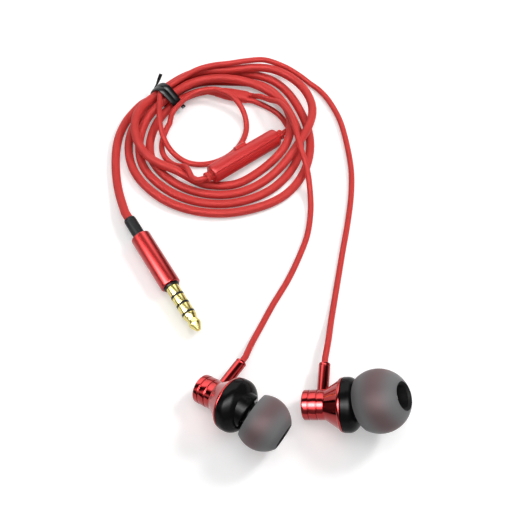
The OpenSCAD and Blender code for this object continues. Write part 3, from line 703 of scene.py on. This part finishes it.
def made_cord(name, path, thickness, nodes):
    """A round cord as a curve of one open line."""
    line = bpy.data.curves.new(name, "CURVE")
    line.dimensions = "3D"
    line.bevel_depth = thickness / 2
    line.bevel_resolution = 6
    line.use_fill_caps = True
    spline = line.splines.new("POLY")
    spline.points.add(len(path) - 1)
    for point, p in zip(spline.points, path):
        point.co = (*p, 1)
    spline.use_smooth = True
    handed_over(name, line, ["cord_skin"], nodes)


def dress(node, word):
    """Gives a CAD node that stays a finish of its own."""
    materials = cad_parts[node].data.materials
    materials.clear()
    materials.append(finish(word))


# ---------------------------------------------------------------- pieces

class EARPHONES_OT_camera(bpy.types.Operator):
    """Sets up the camera above the earbuds' side, looking down at the coil"""
    bl_idname = "earphones.camera"
    bl_label = "Camera"

    def execute(self, context):
        view = bpy.data.cameras.new("Camera")
        view.sensor_width = 36
        view.lens = view.sensor_width / 2 / math.tan(context.scene.stage_settings.view_angle / 2)
        view.clip_start = 0.01
        view.clip_end = 10
        context.scene.camera = linked("Camera", view)
        aim(context.scene.camera, (-0.0095, -0.04957, 0.193), (-0.0095, 0.04043, 0))
        return {"FINISHED"}


class EARPHONES_OT_cords(bpy.types.Operator):
    """Makes the joined cord, the single cord of each ear and the short one to the remote"""
    bl_idname = "earphones.cords"
    bl_label = "Cords"

    def execute(self, context):
        s, plug, remote = (
            context.scene.cord_sizes, context.scene.plug_sizes, context.scene.remote_sizes)
        splitter, plug_place, case = standing(SPLITTER), standing(PLUG), standing(REMOTE)

        def ahead(place, x, y=0):
            """A point along and beside a piece, in its own frame."""
            return place @ Vector((x, y, 0))

        coil = laid(wound(COIL_REACH, COIL_RISE), s.joined)
        coil += [ahead(splitter, -s.joined), ahead(splitter, 0)]
        away = (coil[0] - coil[1]).normalized() * s.joined
        behind = -plug.barrel_length - plug.relief_length
        lead = routed((coil[0], coil[0] + away), LEAD_ROUTE,
                      (ahead(plug_place, behind - s.joined), ahead(plug_place, behind)), s.joined)
        joined = coil[::-1] + lead[1:]
        made_cord("joined_cord", joined, s.joined, ["main_coil", "plug_lead"])

        def leaving(side):
            """The straight start of a single cord out of the splitter."""
            return [ahead(splitter, SPLITTER_LENGTH + far, side * s.single * CORD_SPREAD)
                    for far in (0, s.single)]

        left = routed(leaving(1), LEFT_ROUTE, (stem_line(-1, s.single), stem_line(-1, 0)),
                      s.single)
        made_cord("left_cord_line", left[::-1], s.single, ["left_cord"])

        grip_end = remote.case_length / 2 + remote.grip_length
        short = routed(leaving(-1), REMOTE_ROUTE,
                       (ahead(case, grip_end + 0.001), ahead(case, grip_end)), s.single)
        made_cord("remote_lead", short, s.single, ["remote_cord"])

        loop = laid(wound(RIGHT_REACH, RIGHT_RISE), s.single)
        meeting = loop[-1]
        a = math.radians(TIE_ANGLE)
        along = Vector((math.sin(a), -math.cos(a), 0)) * s.single
        first = [Vector(p) for p in RIGHT_COIL_ROUTE]
        near = laid([ahead(case, -grip_end), *curve_through(
            [ahead(case, -grip_end - s.single), *first[:-1]], ROUTE_STEPS), first[-1]], s.single)
        # The points just before the meeting go, so that the cord comes straight into it
        near = eased([*near, *loop[:-4], meeting - along])
        right = near + routed((meeting, meeting + along), RIGHT_ROUTE,
                              (stem_line(1, s.single), stem_line(1, 0)), s.single)
        made_cord("right_cord_line", right[::-1], s.single, ["right_cord_run", "right_cord_coil"])
        context.scene["cord_paths"] = {
            "joined_cord": length_along(joined), "left_cord_line": length_along(left),
            "right_cord_line": length_along(right)}
        return {"FINISHED"}


class EARPHONES_OT_plug(bpy.types.Operator):
    """Makes the plug: strain relief, grip barrel, washer, contacts and insulating bands"""
    bl_idname = "earphones.plug"
    bl_label = "Plug"

    def execute(self, context):
        s = context.scene.plug_sizes
        place = standing(PLUG)
        r, back, edge = s.barrel_diameter / 2, -s.barrel_length, 0.00022
        neck, bore, wall = s.relief_diameter / 2 - 0.00027, 0.00215, back + 0.0012
        turned_piece("plug_barrel", "barrel", ["satin_red"], [
            (back, neck), (back, r - edge, 0.00008), (back + edge, r, 0.0001),
            (-edge, r, 0.0001), (0, r - edge, 0.00008), (0, bore), (wall, bore), (wall, neck)],
            place)
        r, end, groove = s.relief_diameter / 2, back - s.relief_length, 0.00006
        turned_piece("plug_relief", "strain_relief", ["soft_black"], [
            (end, 0), (end, r - 0.00012, 0.0001), (end + 0.0005, r, 0.0002),
            (end + 0.0007, r, 0.00005), (end + 0.00076, r - groove, 0.00003),
            (end + 0.00088, r - groove, 0.00003), (end + 0.00094, r, 0.00005), (back, r),
            (back, neck - FIT), (wall, neck - FIT), (wall, 0)], place, SMALL_STEPS)
        r, end = s.collar_diameter / 2, s.collar_thickness
        turned_piece("plug_washer", "collar", ["hard_black"], [
            (0, ROOT_RADIUS), (0, r, 0.0001), (end, r, 0.0002), (end, ROOT_RADIUS)], place)

        r, core, rod = s.jack_diameter / 2, 0.00093, 0.0009
        bands = [s.first_band + i * (s.band_width + s.ring_length) for i in range(3)]
        starts = [s.collar_thickness + FIT, *[x + s.band_width for x in bands]]
        for node, a, b in zip(("jack_sleeve", "jack_ring_2", "jack_ring_1"), starts, bands):
            contact = bmesh.new()
            add_turned(contact, [(a, core), (a, r, 0.00007), (b, r, 0.00007), (b, core)], place)
            if a < s.first_band:
                add_turned(contact, [(-0.004, core), (-0.004, ROOT_RADIUS - FIT),
                                     (a + 0.0002, ROOT_RADIUS - FIT), (a + 0.0002, core)],
                           place, SMALL_STEPS)
            made_piece(node + "_contact", node, ["plated_gold"], contact)
        a = starts[3]
        turned_piece("jack_tip_contact", "jack_tip", ["plated_gold"], [
            (a + 0.001, 0), (a + 0.001, core), (a, core), (a, r, 0.00007),
            (a + 0.0008, r, 0.0003), (a + 0.0017, 0.00125, 0.0005),
            (a + 0.0029, r * 0.95, 0.0006), (a + 0.0034, r * 0.9, 0.0004),
            (s.jack_length, 0.0005, 0.0003), (s.jack_length, 0)], place)
        insulation = bmesh.new()
        add_turned(insulation, [(-0.005, 0), (-0.005, rod), (a + 0.00095, rod), (a + 0.00095, 0)],
                   place, SMALL_STEPS)
        for x in bands:
            near, far = x - BAND_LAP, x + s.band_width + BAND_LAP
            add_turned(insulation, [
                (near, 0), (near, r + BAND_RISE, BAND_RISE), (far, r + BAND_RISE, BAND_RISE),
                (far, 0)], place)
        made_piece("jack_bands", "jack_insulators", ["hard_black"], insulation)
        dress("inner_mould", "soft_black")
        return {"FINISHED"}


class EARPHONES_OT_splitter(bpy.types.Operator):
    """Makes the moulding where the joined cord parts into two"""
    bl_idname = "earphones.splitter"
    bl_label = "Splitter"

    def execute(self, context):
        shape = bmesh.new()
        rings = []
        # Along, share of the full thickness, and how far the sides stand apart
        for x, size, spread in (
                (0, 0.8, 0), (0.00025, 0.94, 0), (0.0008, 1, 0), (0.0018, 1, 0.0001),
                (0.003, 1, 0.00035), (0.0045, 1, 0.00045), (0.0088, 1, 0.0005),
                (0.0096, 0.95, 0.0005), (SPLITTER_LENGTH, 0.78, 0.0005)):
            rings.append(bmesh.ops.create_circle(
                shape, cap_ends=False, segments=SMALL_STEPS, radius=SPLITTER_RADIUS * size,
                matrix=Matrix.Translation((x, 0, 0)) @ turned(90, "Y"))["verts"])
            for v in rings[-1]:
                if abs(v.co.y) > 1e-6:
                    v.co.y += math.copysign(spread, v.co.y)
        bridged(shape, rings)
        capped(shape)
        placed = bmesh.new()
        settle(placed, shape, standing(SPLITTER))
        made_piece("splitter_moulding", "splitter", ["cord_skin"], placed)
        return {"FINISHED"}


def tie_outline(gap):
    """The tight outline round the cords under the tie, in its own frame: across and up."""
    # Across, up and radius of each cord
    cords = [(0.0029, 0.0018, 0.0012), (-0.0029, 0.0018, 0.0012), (-0.0038, 0.00395, 0.0008),
             (-0.00145, 0.00435, 0.0012), (0.0015, 0.00435, 0.0012), (0, 0.0063, 0.0008)]
    points = sorted({
        (round(y + (r + gap) * math.cos(a), 7), round(max(z + (r + gap) * math.sin(a), 0.0003), 7))
        for y, z, r in cords for a in [math.tau * k / 48 for k in range(48)]})
    hull = convex_hull_2d(points)
    start = hull.index(0)
    hull = [Vector(points[i]) for i in hull[start:] + hull[:start + 1]]
    total = length_along(hull)
    made, walked, i = [], 0.0, 0
    for k in range(TIE_STEPS):
        want = total * k / TIE_STEPS
        while walked + (hull[i + 1] - hull[i]).length < want:
            walked += (hull[i + 1] - hull[i]).length
            i += 1
        step = hull[i + 1] - hull[i]
        made.append(hull[i] + step * ((want - walked) / step.length))
    for _ in range(10):
        made = [(a + b * 2 + c) / 4 for a, b, c in zip(made[-1:] + made, made, made[1:] + made)]
    return made


class EARPHONES_OT_tie(bpy.types.Operator):
    """Winds the black tie twice round the bundle and twists its ends together"""
    bl_idname = "earphones.tie"
    bl_label = "Tie"

    def execute(self, context):
        a = math.radians(TIE_ANGLE)
        place = (Matrix.Translation((COIL_MIDDLE.x + TIE_REACH * math.cos(a),
                                     COIL_MIDDLE.y + TIE_REACH * math.sin(a), 0))
                 @ turned(TIE_ANGLE - 90, "Z"))
        shape = bmesh.new()
        outline = tie_outline(0.00062)
        width, thickness, lowest = 0.0017, 0.00056, 0.00005
        for along, lean in ((-0.00068, 0.00016), (0.00068, -0.00016)):
            ribbon = bmesh.new()
            rings = []
            for k, p in enumerate(outline):
                x = along + lean * math.sin(math.tau * k / TIE_STEPS)
                out = (outline[(k + 1) % TIE_STEPS] - outline[k - 1]).normalized()
                out *= thickness / 2
                ring = bmesh.ops.create_circle(
                    ribbon, cap_ends=False, segments=RIBBON_STEPS, radius=1, matrix=Matrix((
                        (width / 2, 0, 0, x), (0, out.y, 0, p.x), (0, -out.x, 0, p.y),
                        (0, 0, 0, 1))))["verts"]
                for v in ring:
                    v.co.z = max(v.co.z, lowest)
                rings.append(ring)
            bridged(ribbon, rings + rings[:1])
            ribbon.loops.layers.uv.new("Turned")
            settle(shape, ribbon, place)
        for start in (0, math.pi):
            strand = []
            for k in range(25):
                t = k / 24
                w, turn = 0.00022 * (1 + 0.25 * t), start + t * 2.6
                strand.append(Vector((
                    0.0006 + 0.00305 * t + w * 0.77 * math.cos(turn),
                    0.0046 + w * math.sin(turn) * 0.8,
                    0.0027 + 0.0036 * t - w * 0.64 * math.cos(turn))))
            add_tube(shape, strand, 0.00052, place)
        stub = [Vector((0.0015, -0.0044 - 0.0016 * t, 0.0022 - 0.0004 * t * t))
                for t in (0, 0.2, 0.4, 0.6, 0.8, 1)]
        add_tube(shape, stub, 0.0013, place, squash=0.55)
        made_piece("tie_ribbon", "twist_tie", ["tie_vinyl"], shape)
        return {"FINISHED"}


class EARPHONES_OT_remote(bpy.types.Operator):
    """Makes the remote: two case halves with their seam, the button and the cord grips"""
    bl_idname = "earphones.remote"
    bl_label = "Remote"

    def execute(self, context):
        s = context.scene.remote_sizes
        place = standing(REMOTE)
        r, half = s.case_diameter / 2, s.case_length / 2
        case = [(-half, 0), (-half, r - 0.0012), (-half, r, 0.0012), (half, r, 0.0012),
                (half, r - 0.0012), (half, 0)]
        for name, side, node in (("remote_upper", 1, "case_upper"),
                                 ("remote_lower", -1, "case_lower")):
            shell = bmesh.new()
            add_turned(shell, case, Matrix.Identity(4))
            sliced(shell, (0, 0, side * 0.00002), (0, 0, -side))
            rim = [e for e in shell.edges if len(e.link_faces) == 2
                   and e.calc_face_angle(0) > math.radians(60)
                   and all(abs(v.co.z) < 0.0001 for v in e.verts)]
            bmesh.ops.bevel(shell, geom=rim, offset=0.00013, affect="EDGES", segments=3,
                            profile=0.5, material=-1)
            whole = bmesh.new()
            settle(whole, shell, place)
            piece = made_piece(name, node, ["moulded_red"], whole)
            if side > 0:
                self.cut_openings(context, piece, place, s)
        key = bmesh.new()
        top, foot = r + s.button_rise, 0.00125
        add_block(key, (s.button_length, s.button_width, top - foot),
                  (0, 0, (top + foot) / 2), place, 0.00034)
        add_block(key, (s.button_length + 0.0007, s.button_width - 0.0001, 0.00045),
                  (0, 0, 0.0015), place, 0.0001)
        made_piece("remote_button", "button", ["moulded_red"], key, "remote_key")
        r = s.grip_diameter / 2
        outline = [(half - 0.0014, 0), (half - 0.0014, r + 0.00036),
                   (half - 0.00095, r + 0.00036), (half - 0.00095, r), (half + 0.0003, r, 0.0001)]
        for x in (half + 0.0004, half + 0.001):
            outline += [(x, r - 0.0002, 0.00005), (x + 0.0002, r - 0.0002, 0.00005),
                        (x + 0.0003, r, 0.00008)]
        outline += [(half + s.grip_length, r, 0.0004), (half + s.grip_length, 0)]
        for side, word in SIDES:
            turned_piece("remote_grip_" + word, "nub_" + word, ["cord_skin"], outline,
                         place @ Matrix.Diagonal((side, 1, 1, 1)), SMALL_STEPS)
        for node, word in (("board", "solder_mask"), ("switch_body", "plain_steel"),
                           ("mic", "plain_steel"), ("switch_plunger", "hard_black")):
            dress(node, word)
        return {"FINISHED"}

    def cut_openings(self, context, piece, place, s):
        """Cuts the button's slot and the microphone's hole in the upper half."""
        cutter = bmesh.new()
        add_block(cutter, (s.button_length + 0.0003, s.button_width + 0.0003, 0.004),
                  (0, 0, 0.0036), place, 0.0003)
        add_turned(cutter, [(0.001, 0), (0.001, 0.0003), (0.004, 0.0003), (0.004, 0)],
                   place @ Matrix.Translation((-0.0065, 0, 0)) @ turned(-90, "Y"), steps=24)
        tool = linked("slot_cutter", as_mesh("slot_cutter", cutter))
        cutting = piece.modifiers.new("Slot", "BOOLEAN")
        cutting.operation = "DIFFERENCE"
        cutting.solver = "EXACT"
        cutting.object = tool
        context.view_layer.update()
        done = piece.evaluated_get(context.evaluated_depsgraph_get())
        whole, piece.data = piece.data, bpy.data.meshes.new_from_object(done)
        piece.modifiers.clear()
        for mesh in (whole, tool.data):
            bpy.data.meshes.remove(mesh)


class EARPHONES_OT_housings(bpy.types.Operator):
    """Makes the turned red housings of both earbuds, with their back caps and stems"""
    bl_idname = "earphones.housings"
    bl_label = "Housings"

    def execute(self, context):
        s = context.scene.earbud_sizes
        r, rim, cap = s.housing_diameter / 2, s.rim_diameter / 2, 0.00325
        back, spigot = -s.housing_length, s.front_diameter / 2 - SPIGOT_STEP
        low, lid_end, bore = r - s.groove_depth, back + 0.0008, r - 0.00055
        shell = [(back, cap + FIT), (back, r - 0.00025, 0.00005), (back + 0.00025, r, 0.00012)]
        for x in (back + s.groove_start, back + s.groove_start + s.groove_pitch):
            far = x + s.groove_width
            shell += [(x, r, 0.00009), (x + 0.00006, low, 0.00004), (far - 0.00006, low, 0.00004),
                      (far, r, 0.00009)]
        shell += [
            (-s.cone_length, r, 0.00035), (-0.00075, rim - 0.00045, 0.0001),
            (-0.00062, rim - 0.00012, 0.0001), (-0.0003, rim, 0.00015), (0, rim, 0.00012),
            (0, spigot + FIT), (-0.0005, spigot + FIT), (-0.0005, 0.00488), (-0.0018, 0.00488),
            (-0.0018, 0.00445), (-s.cone_length, bore), (lid_end, bore), (lid_end, cap + FIT)]
        lid = [(back + 0.00012, 0), (back + 0.00012, 0.0021, 0.0001), (back, 0.00226, 0.0001),
               (back, cap, 0.00018), (lid_end, cap), (lid_end, 0)]
        out, hole, root, mouth = s.stem_diameter / 2, s.stem_bore / 2, r - 0.00095, s.stem_reach
        stem = [
            (root, hole), (root, out), (mouth - 0.0009, out, 0.0001),
            (mouth - 0.00082, out - 0.00008), (mouth - 0.00068, out - 0.00008),
            (mouth - 0.0006, out, 0.0001), (mouth, out, 0.00016), (mouth, hole, 0.0001)]
        for side, word in SIDES:
            place = bud_frame(side)
            aside = place @ Matrix.Translation((s.stem_place + back, 0, 0)) @ turned(90, "Z")
            for name, node, outline, at, steps in (
                    ("_shell", "_housing", shell, place, ROUND_STEPS),
                    ("_back_cap", "_rear_cap", lid, place, ROUND_STEPS),
                    ("_stem_tube", "_stem", stem, aside, STEM_STEPS)):
                turned_piece(word + name, word + node, ["polished_red"], outline,
                             at, steps)
            dress(word + "_stem_bush", "soft_black")
        return {"FINISHED"}


class EARPHONES_OT_fronts(bpy.types.Operator):
    """Makes the glossy black fronts with their domes, bosses, vents and nozzles"""
    bl_idname = "earphones.fronts"
    bl_label = "Fronts"

    def execute(self, context):
        s = context.scene.earbud_sizes
        r, start, wall = s.front_diameter / 2, 0.00015, 0.0006
        spigot, top, rise = r - SPIGOT_STEP, start + s.front_band, s.dome_rise
        angles = [math.radians(3 * k) for k in range(1, 30)]
        dome = [(top + rise * math.sin(a), r * math.cos(a)) for a in angles]
        hollow = [(top + (rise - wall) * math.sin(a), (spigot - wall) * math.cos(a))
                  for a in reversed(angles)]
        front = [(-0.0005, spigot - wall), (-0.0005, spigot), (start, spigot), (start, r, 0.00018),
                 (top, r), *dome, (top + rise, 0), (top + rise - wall, 0), *hollow,
                 (top, spigot - wall)]
        boss, neck, lip, end = (
            s.boss_diameter / 2, s.neck_diameter / 2, s.lip_diameter / 2, s.nozzle_length)
        spout = [
            (-0.0025, 0), (-0.0025, boss), (0.0008, boss, 0.0006), (0.0008, neck + 0.0002),
            (0.0011, neck, 0.0003), (end - 0.0016, neck), (end - 0.0013, lip, 0.0001),
            (end - 0.0003, lip, 0.00015), (end, lip - 0.0003, 0.0001), (end, 0.00203),
            (end - 0.0005, 0.00203), (end - 0.0005, 0.0016), (end - 0.0025, 0.0016),
            (end - 0.0025, 0)]
        hole, foot = s.vent_diameter / 2, boss - 0.0006
        ring = [(foot, hole), (boss + 0.00003, hole, 0.00006),
                (boss + 0.00008, hole + 0.00012, 0.00006), (boss + 0.00001, hole + 0.0003),
                (foot, hole + 0.0003)]
        floor = [(boss - 0.0005, 0), (boss - 0.0005, hole + 0.0001),
                 (boss - 0.00004, hole + 0.0001), (boss - 0.00004, 0)]
        for side, word in SIDES:
            bud, place = bud_frame(side), nozzle_frame(side)
            shape = bmesh.new()
            add_turned(shape, front, bud)
            nozzle = bmesh.new()
            add_turned(nozzle, spout, place)
            sliced(nozzle, bud @ Vector((start + wall, 0, 0)), -bud.col[0].xyz)
            settle(shape, nozzle, Matrix.Identity(4))
            vent = (place @ Matrix.Translation((VENT_ALONG, 0, 0)) @ turned(VENT_ANGLE, "X")
                    @ turned(90, "Z"))
            add_turned(shape, ring, vent, VENT_STEPS)
            # The vent's floor takes the near-black: painted shade of the hole
            add_turned(shape, floor, vent, VENT_STEPS, index=1)
            made_piece(word + "_front", word + "_front_shell", ["gloss_black", "tip_core_rubber"],
                       shape)
            dress(word + "_nozzle_mesh", "plain_steel")
        return {"FINISHED"}


class EARPHONES_OT_tips(bpy.types.Operator):
    """Makes the smoky ear tips, each an umbrella of rubber on its inner tube"""
    bl_idname = "earphones.tips"
    bl_label = "Ear tips"

    def execute(self, context):
        s = context.scene.earbud_sizes
        bore = s.lip_diameter / 2 + 0.00005
        tube, mouth, back = bore + 0.0007, bore + TIP_FLARE, 0.0022 - s.tip_place
        for side, word in SIDES:
            place = nozzle_frame(side) @ Matrix.Translation((s.tip_place, 0, 0))
            ball = (s.right_tip if side > 0 else s.left_tip) / 2
            inner = ball - s.tip_wall
            first, last = math.asin(mouth / ball), math.pi / 2 + math.asin(s.skirt_reach / ball)
            root = math.asin((tube + 0.0001) / inner)
            front, end = inner * math.cos(root), ball * math.cos(first)
            umbrella = bmesh.new()
            add_turned(umbrella, [
                (front, tube), (end - 0.0006, bore), (end - 0.0002, mouth - 0.0003, 0.0002),
                *arc(ball, first, last), *reversed(arc(inner, root, last))], place)
            self.map_round(umbrella, place, LEFT_PAINTED_BANDS_SHIFT if side < 0 else 0)
            unplace = place.inverted()
            # Faces round the mouth take the near-black: painted shade of the opening
            for face in umbrella.faces:
                spot = unplace @ face.calc_center_median()
                if math.hypot(spot.y, spot.z) < mouth and spot.x > front + 0.0001:
                    face.material_index = 1
            # The inner tube, in the near-black: painted shade where it shows in the opening
            add_turned(umbrella, [
                (back, bore + 0.00002), (back, tube, 0.0002), (front + 0.0001, tube),
                (end - 0.0007, bore + 0.00002)], place, index=1)
            made_piece(word + "_tip_rubber", word + "_ear_tip", ["smoky_rubber", "tip_core_rubber"],
                       umbrella, word + "_tip")
        return {"FINISHED"}

    def map_round(self, shape, place, shift):
        """Maps a tip by the angle off its axis, as a share of half a turn, for its painted glow and
        painted shade bands.
        """
        unplace = place.inverted()
        layer = shape.loops.layers.uv["Turned"]
        for face in shape.faces:
            for corner in face.loops:
                spot = unplace @ corner.vert.co
                angle = math.atan2(math.hypot(spot.y, spot.z), spot.x)
                corner[layer].uv.y = angle / math.pi - shift


class EARPHONES_OT_drivers(bpy.types.Operator):
    """Gives the sound drivers inside the earbuds their finishes"""
    bl_idname = "earphones.drivers"
    bl_label = "Drivers"

    def execute(self, context):
        for _, side in SIDES:
            for node, word in (
                    ("driver_frame", "plain_steel"), ("yoke", "plain_steel"),
                    ("magnet", "magnet_ferrite"), ("voice_coil", "copper_wire"),
                    ("diaphragm", "amber_film"), ("terminal_board", "solder_mask")):
                dress(f"{side}_{node}", word)
        return {"FINISHED"}


class EARPHONES_OT_stage(bpy.types.Operator):
    """Sets up the pale floor, the lamps and the surroundings"""
    bl_idname = "earphones.stage"
    bl_label = "Stage"

    def execute(self, context):
        s = context.scene.stage_settings
        floor = bmesh.new()
        bmesh.ops.create_grid(floor, x_segments=1, y_segments=1, size=4)
        mesh = as_mesh("floor", floor)
        mesh.materials.append(self.floor_finish())
        linked("floor", mesh)
        self.lamp("key", (0.27, 0.2, 0.34), 0.09, s.key)
        self.lamp("overhead", (0.02, 0.07, 0.44), 0.3, s.overhead)
        world = bpy.data.worlds.new("World")
        context.scene.world = world
        world.use_nodes = True
        self.surroundings(world.node_tree, s)
        context.scene.view_settings.view_transform = "Standard"
        return {"FINISHED"}

    def surroundings(self, tree, s):
        """Plain light on the object, white to the camera, and a softbox for what is polished."""
        plain = tree.nodes["Background"]
        feed(tree, plain, {"Color": WHITE, "Strength": s.fill})
        seen = add_node(tree, "Background", {"Color": WHITE, "Strength": 1})
        mirrored = add_node(tree, "Background", {
            "Color": WHITE, "Strength": self.softbox(tree, s.card)})
        rays = add_node(tree, "LightPath", {}).outputs
        shown = plain.outputs[0]
        for ray, sky in (("Is Glossy Ray", mirrored), ("Is Transmission Ray", seen),
                         ("Is Camera Ray", seen)):
            shown = add_node(tree, "MixShader", {
                0: rays[ray], 1: shown, 2: sky.outputs[0]}).outputs[0]
        feed(tree, tree.nodes["World Output"], {"Surface": shown})

    def softbox(self, tree, glow):
        """The brightness of the studio round the object, by its angle from front to back."""
        way = add_node(tree, "TexCoord", {})
        parts = add_node(tree, "SeparateXYZ", {0: way.outputs["Generated"]}).outputs
        front = worked(tree, "MULTIPLY", parts["Y"], -1.0)
        angle = worked(tree, "DIVIDE", worked(tree, "ARCTAN2", parts["Z"], front), math.pi)
        ramp = add_node(tree, "ValToRGB", {0: angle})
        ramp.color_ramp.interpolation = "EASE"
        stops = ramp.color_ramp.elements
        for stop, place in zip(stops, (0.1, 1.0)):
            stop.position = place
        levels = (0.01, 0.013, 0.13, 0.6, 1.0, 0.6, 0.15, 0.004, 0.004, 0.12, 0.06)
        for place in (0.17, 0.29, 0.36, 0.42, 0.48, 0.54, 0.59, 0.69, 0.77):
            stops.new(place)
        for stop, level in zip(stops, levels):
            stop.color = (level, level, level, 1)
        aside = worked(tree, "ABSOLUTE", worked(tree, "ADD", parts["X"], 0.18))
        return worked(tree, "MULTIPLY", ramp.outputs["Color"],
                      ramped(tree, aside, 0.42, 0.72, glow, 1.5))

    def lamp(self, name, at, size, power):
        """A square soft lamp that looks at the object."""
        made = bpy.data.lights.new(name, "AREA")
        made.shape = "SQUARE"
        made.size = size
        made.energy = power
        lamp = linked(name, made)
        lamp.visible_glossy = False
        aim(lamp, at, (-0.01, 0.05, 0))

    def floor_finish(self):
        """Pale floor that the camera sees as white, and that keeps its shadows."""
        made, tree, skin = new_material("pale_floor")
        feed(tree, skin, {"Base Color": (0.84, 0.84, 0.84, 1), "Roughness": 0.8,
                          "Specular IOR Level": 0.1})
        rays = add_node(tree, "LightPath", {}).outputs
        seen = worked(tree, "MAXIMUM", rays["Is Camera Ray"], rays["Is Glossy Ray"])
        place = add_node(tree, "TexCoord", {})
        away = add_node(tree, "VectorMath", {0: place.outputs["Object"]}, operation="LENGTH")
        pale = ramped(tree, away.outputs["Value"], 0.15, 1.0, 0.3, 0.8, smooth=False)
        glow = add_node(tree, "Emission", {"Strength": worked(tree, "MULTIPLY", seen, pale)})
        total = add_node(tree, "AddShader", {0: skin.outputs[0], 1: glow.outputs[0]})
        feed(tree, tree.nodes["Material Output"], {"Surface": total.outputs[0]})
        return made


class EARPHONES_OT_declare(bpy.types.Operator):
    """Takes no step: it declares nothing about the cords"""
    bl_idname = "earphones.declare"
    bl_label = "Declare cords"

    def execute(self, context):
        return {"FINISHED"}


class EARPHONES_PT_panel(bpy.types.Panel):
    """Lists the pieces of the earphones"""
    bl_idname = "EARPHONES_PT_panel"
    bl_label = "Earphones"
    bl_space_type = "VIEW_3D"
    bl_region_type = "UI"
    bl_category = "Earphones"

    def draw(self, context):
        for operator in OPERATORS:
            self.layout.operator(operator.bl_idname)
        for name in SETTINGS:
            group = getattr(context.scene, name)
            box = self.layout.box()
            box.label(text=name.replace("_", " ").capitalize())
            for prop in group.__annotations__:
                box.prop(group, prop)


OPERATORS = (
    EARPHONES_OT_camera, EARPHONES_OT_cords, EARPHONES_OT_plug, EARPHONES_OT_splitter,
    EARPHONES_OT_tie, EARPHONES_OT_remote, EARPHONES_OT_housings, EARPHONES_OT_fronts,
    EARPHONES_OT_tips, EARPHONES_OT_drivers, EARPHONES_OT_stage, EARPHONES_OT_declare,
)
SETTINGS = {
    "cord_sizes": CordSizes, "plug_sizes": PlugSizes, "remote_sizes": RemoteSizes,
    "earbud_sizes": EarbudSizes, "colours": Colours, "stage_settings": StageSettings,
}


def register():
    for group in SETTINGS.values():
        bpy.utils.register_class(group)
    for name, group in SETTINGS.items():
        setattr(bpy.types.Scene, name, PointerProperty(type=group))
    for operator in OPERATORS:
        bpy.utils.register_class(operator)
    bpy.utils.register_class(EARPHONES_PT_panel)


def unregister():
    bpy.utils.unregister_class(EARPHONES_PT_panel)
    for operator in reversed(OPERATORS):
        bpy.utils.unregister_class(operator)
    for name, group in SETTINGS.items():
        delattr(bpy.types.Scene, name)
        bpy.utils.unregister_class(group)


def main():
    register()
    for operator in OPERATORS:
        group, name = operator.bl_idname.split(".")
        getattr(getattr(bpy.ops, group), name)()


if __name__ == "__main__":
    main()
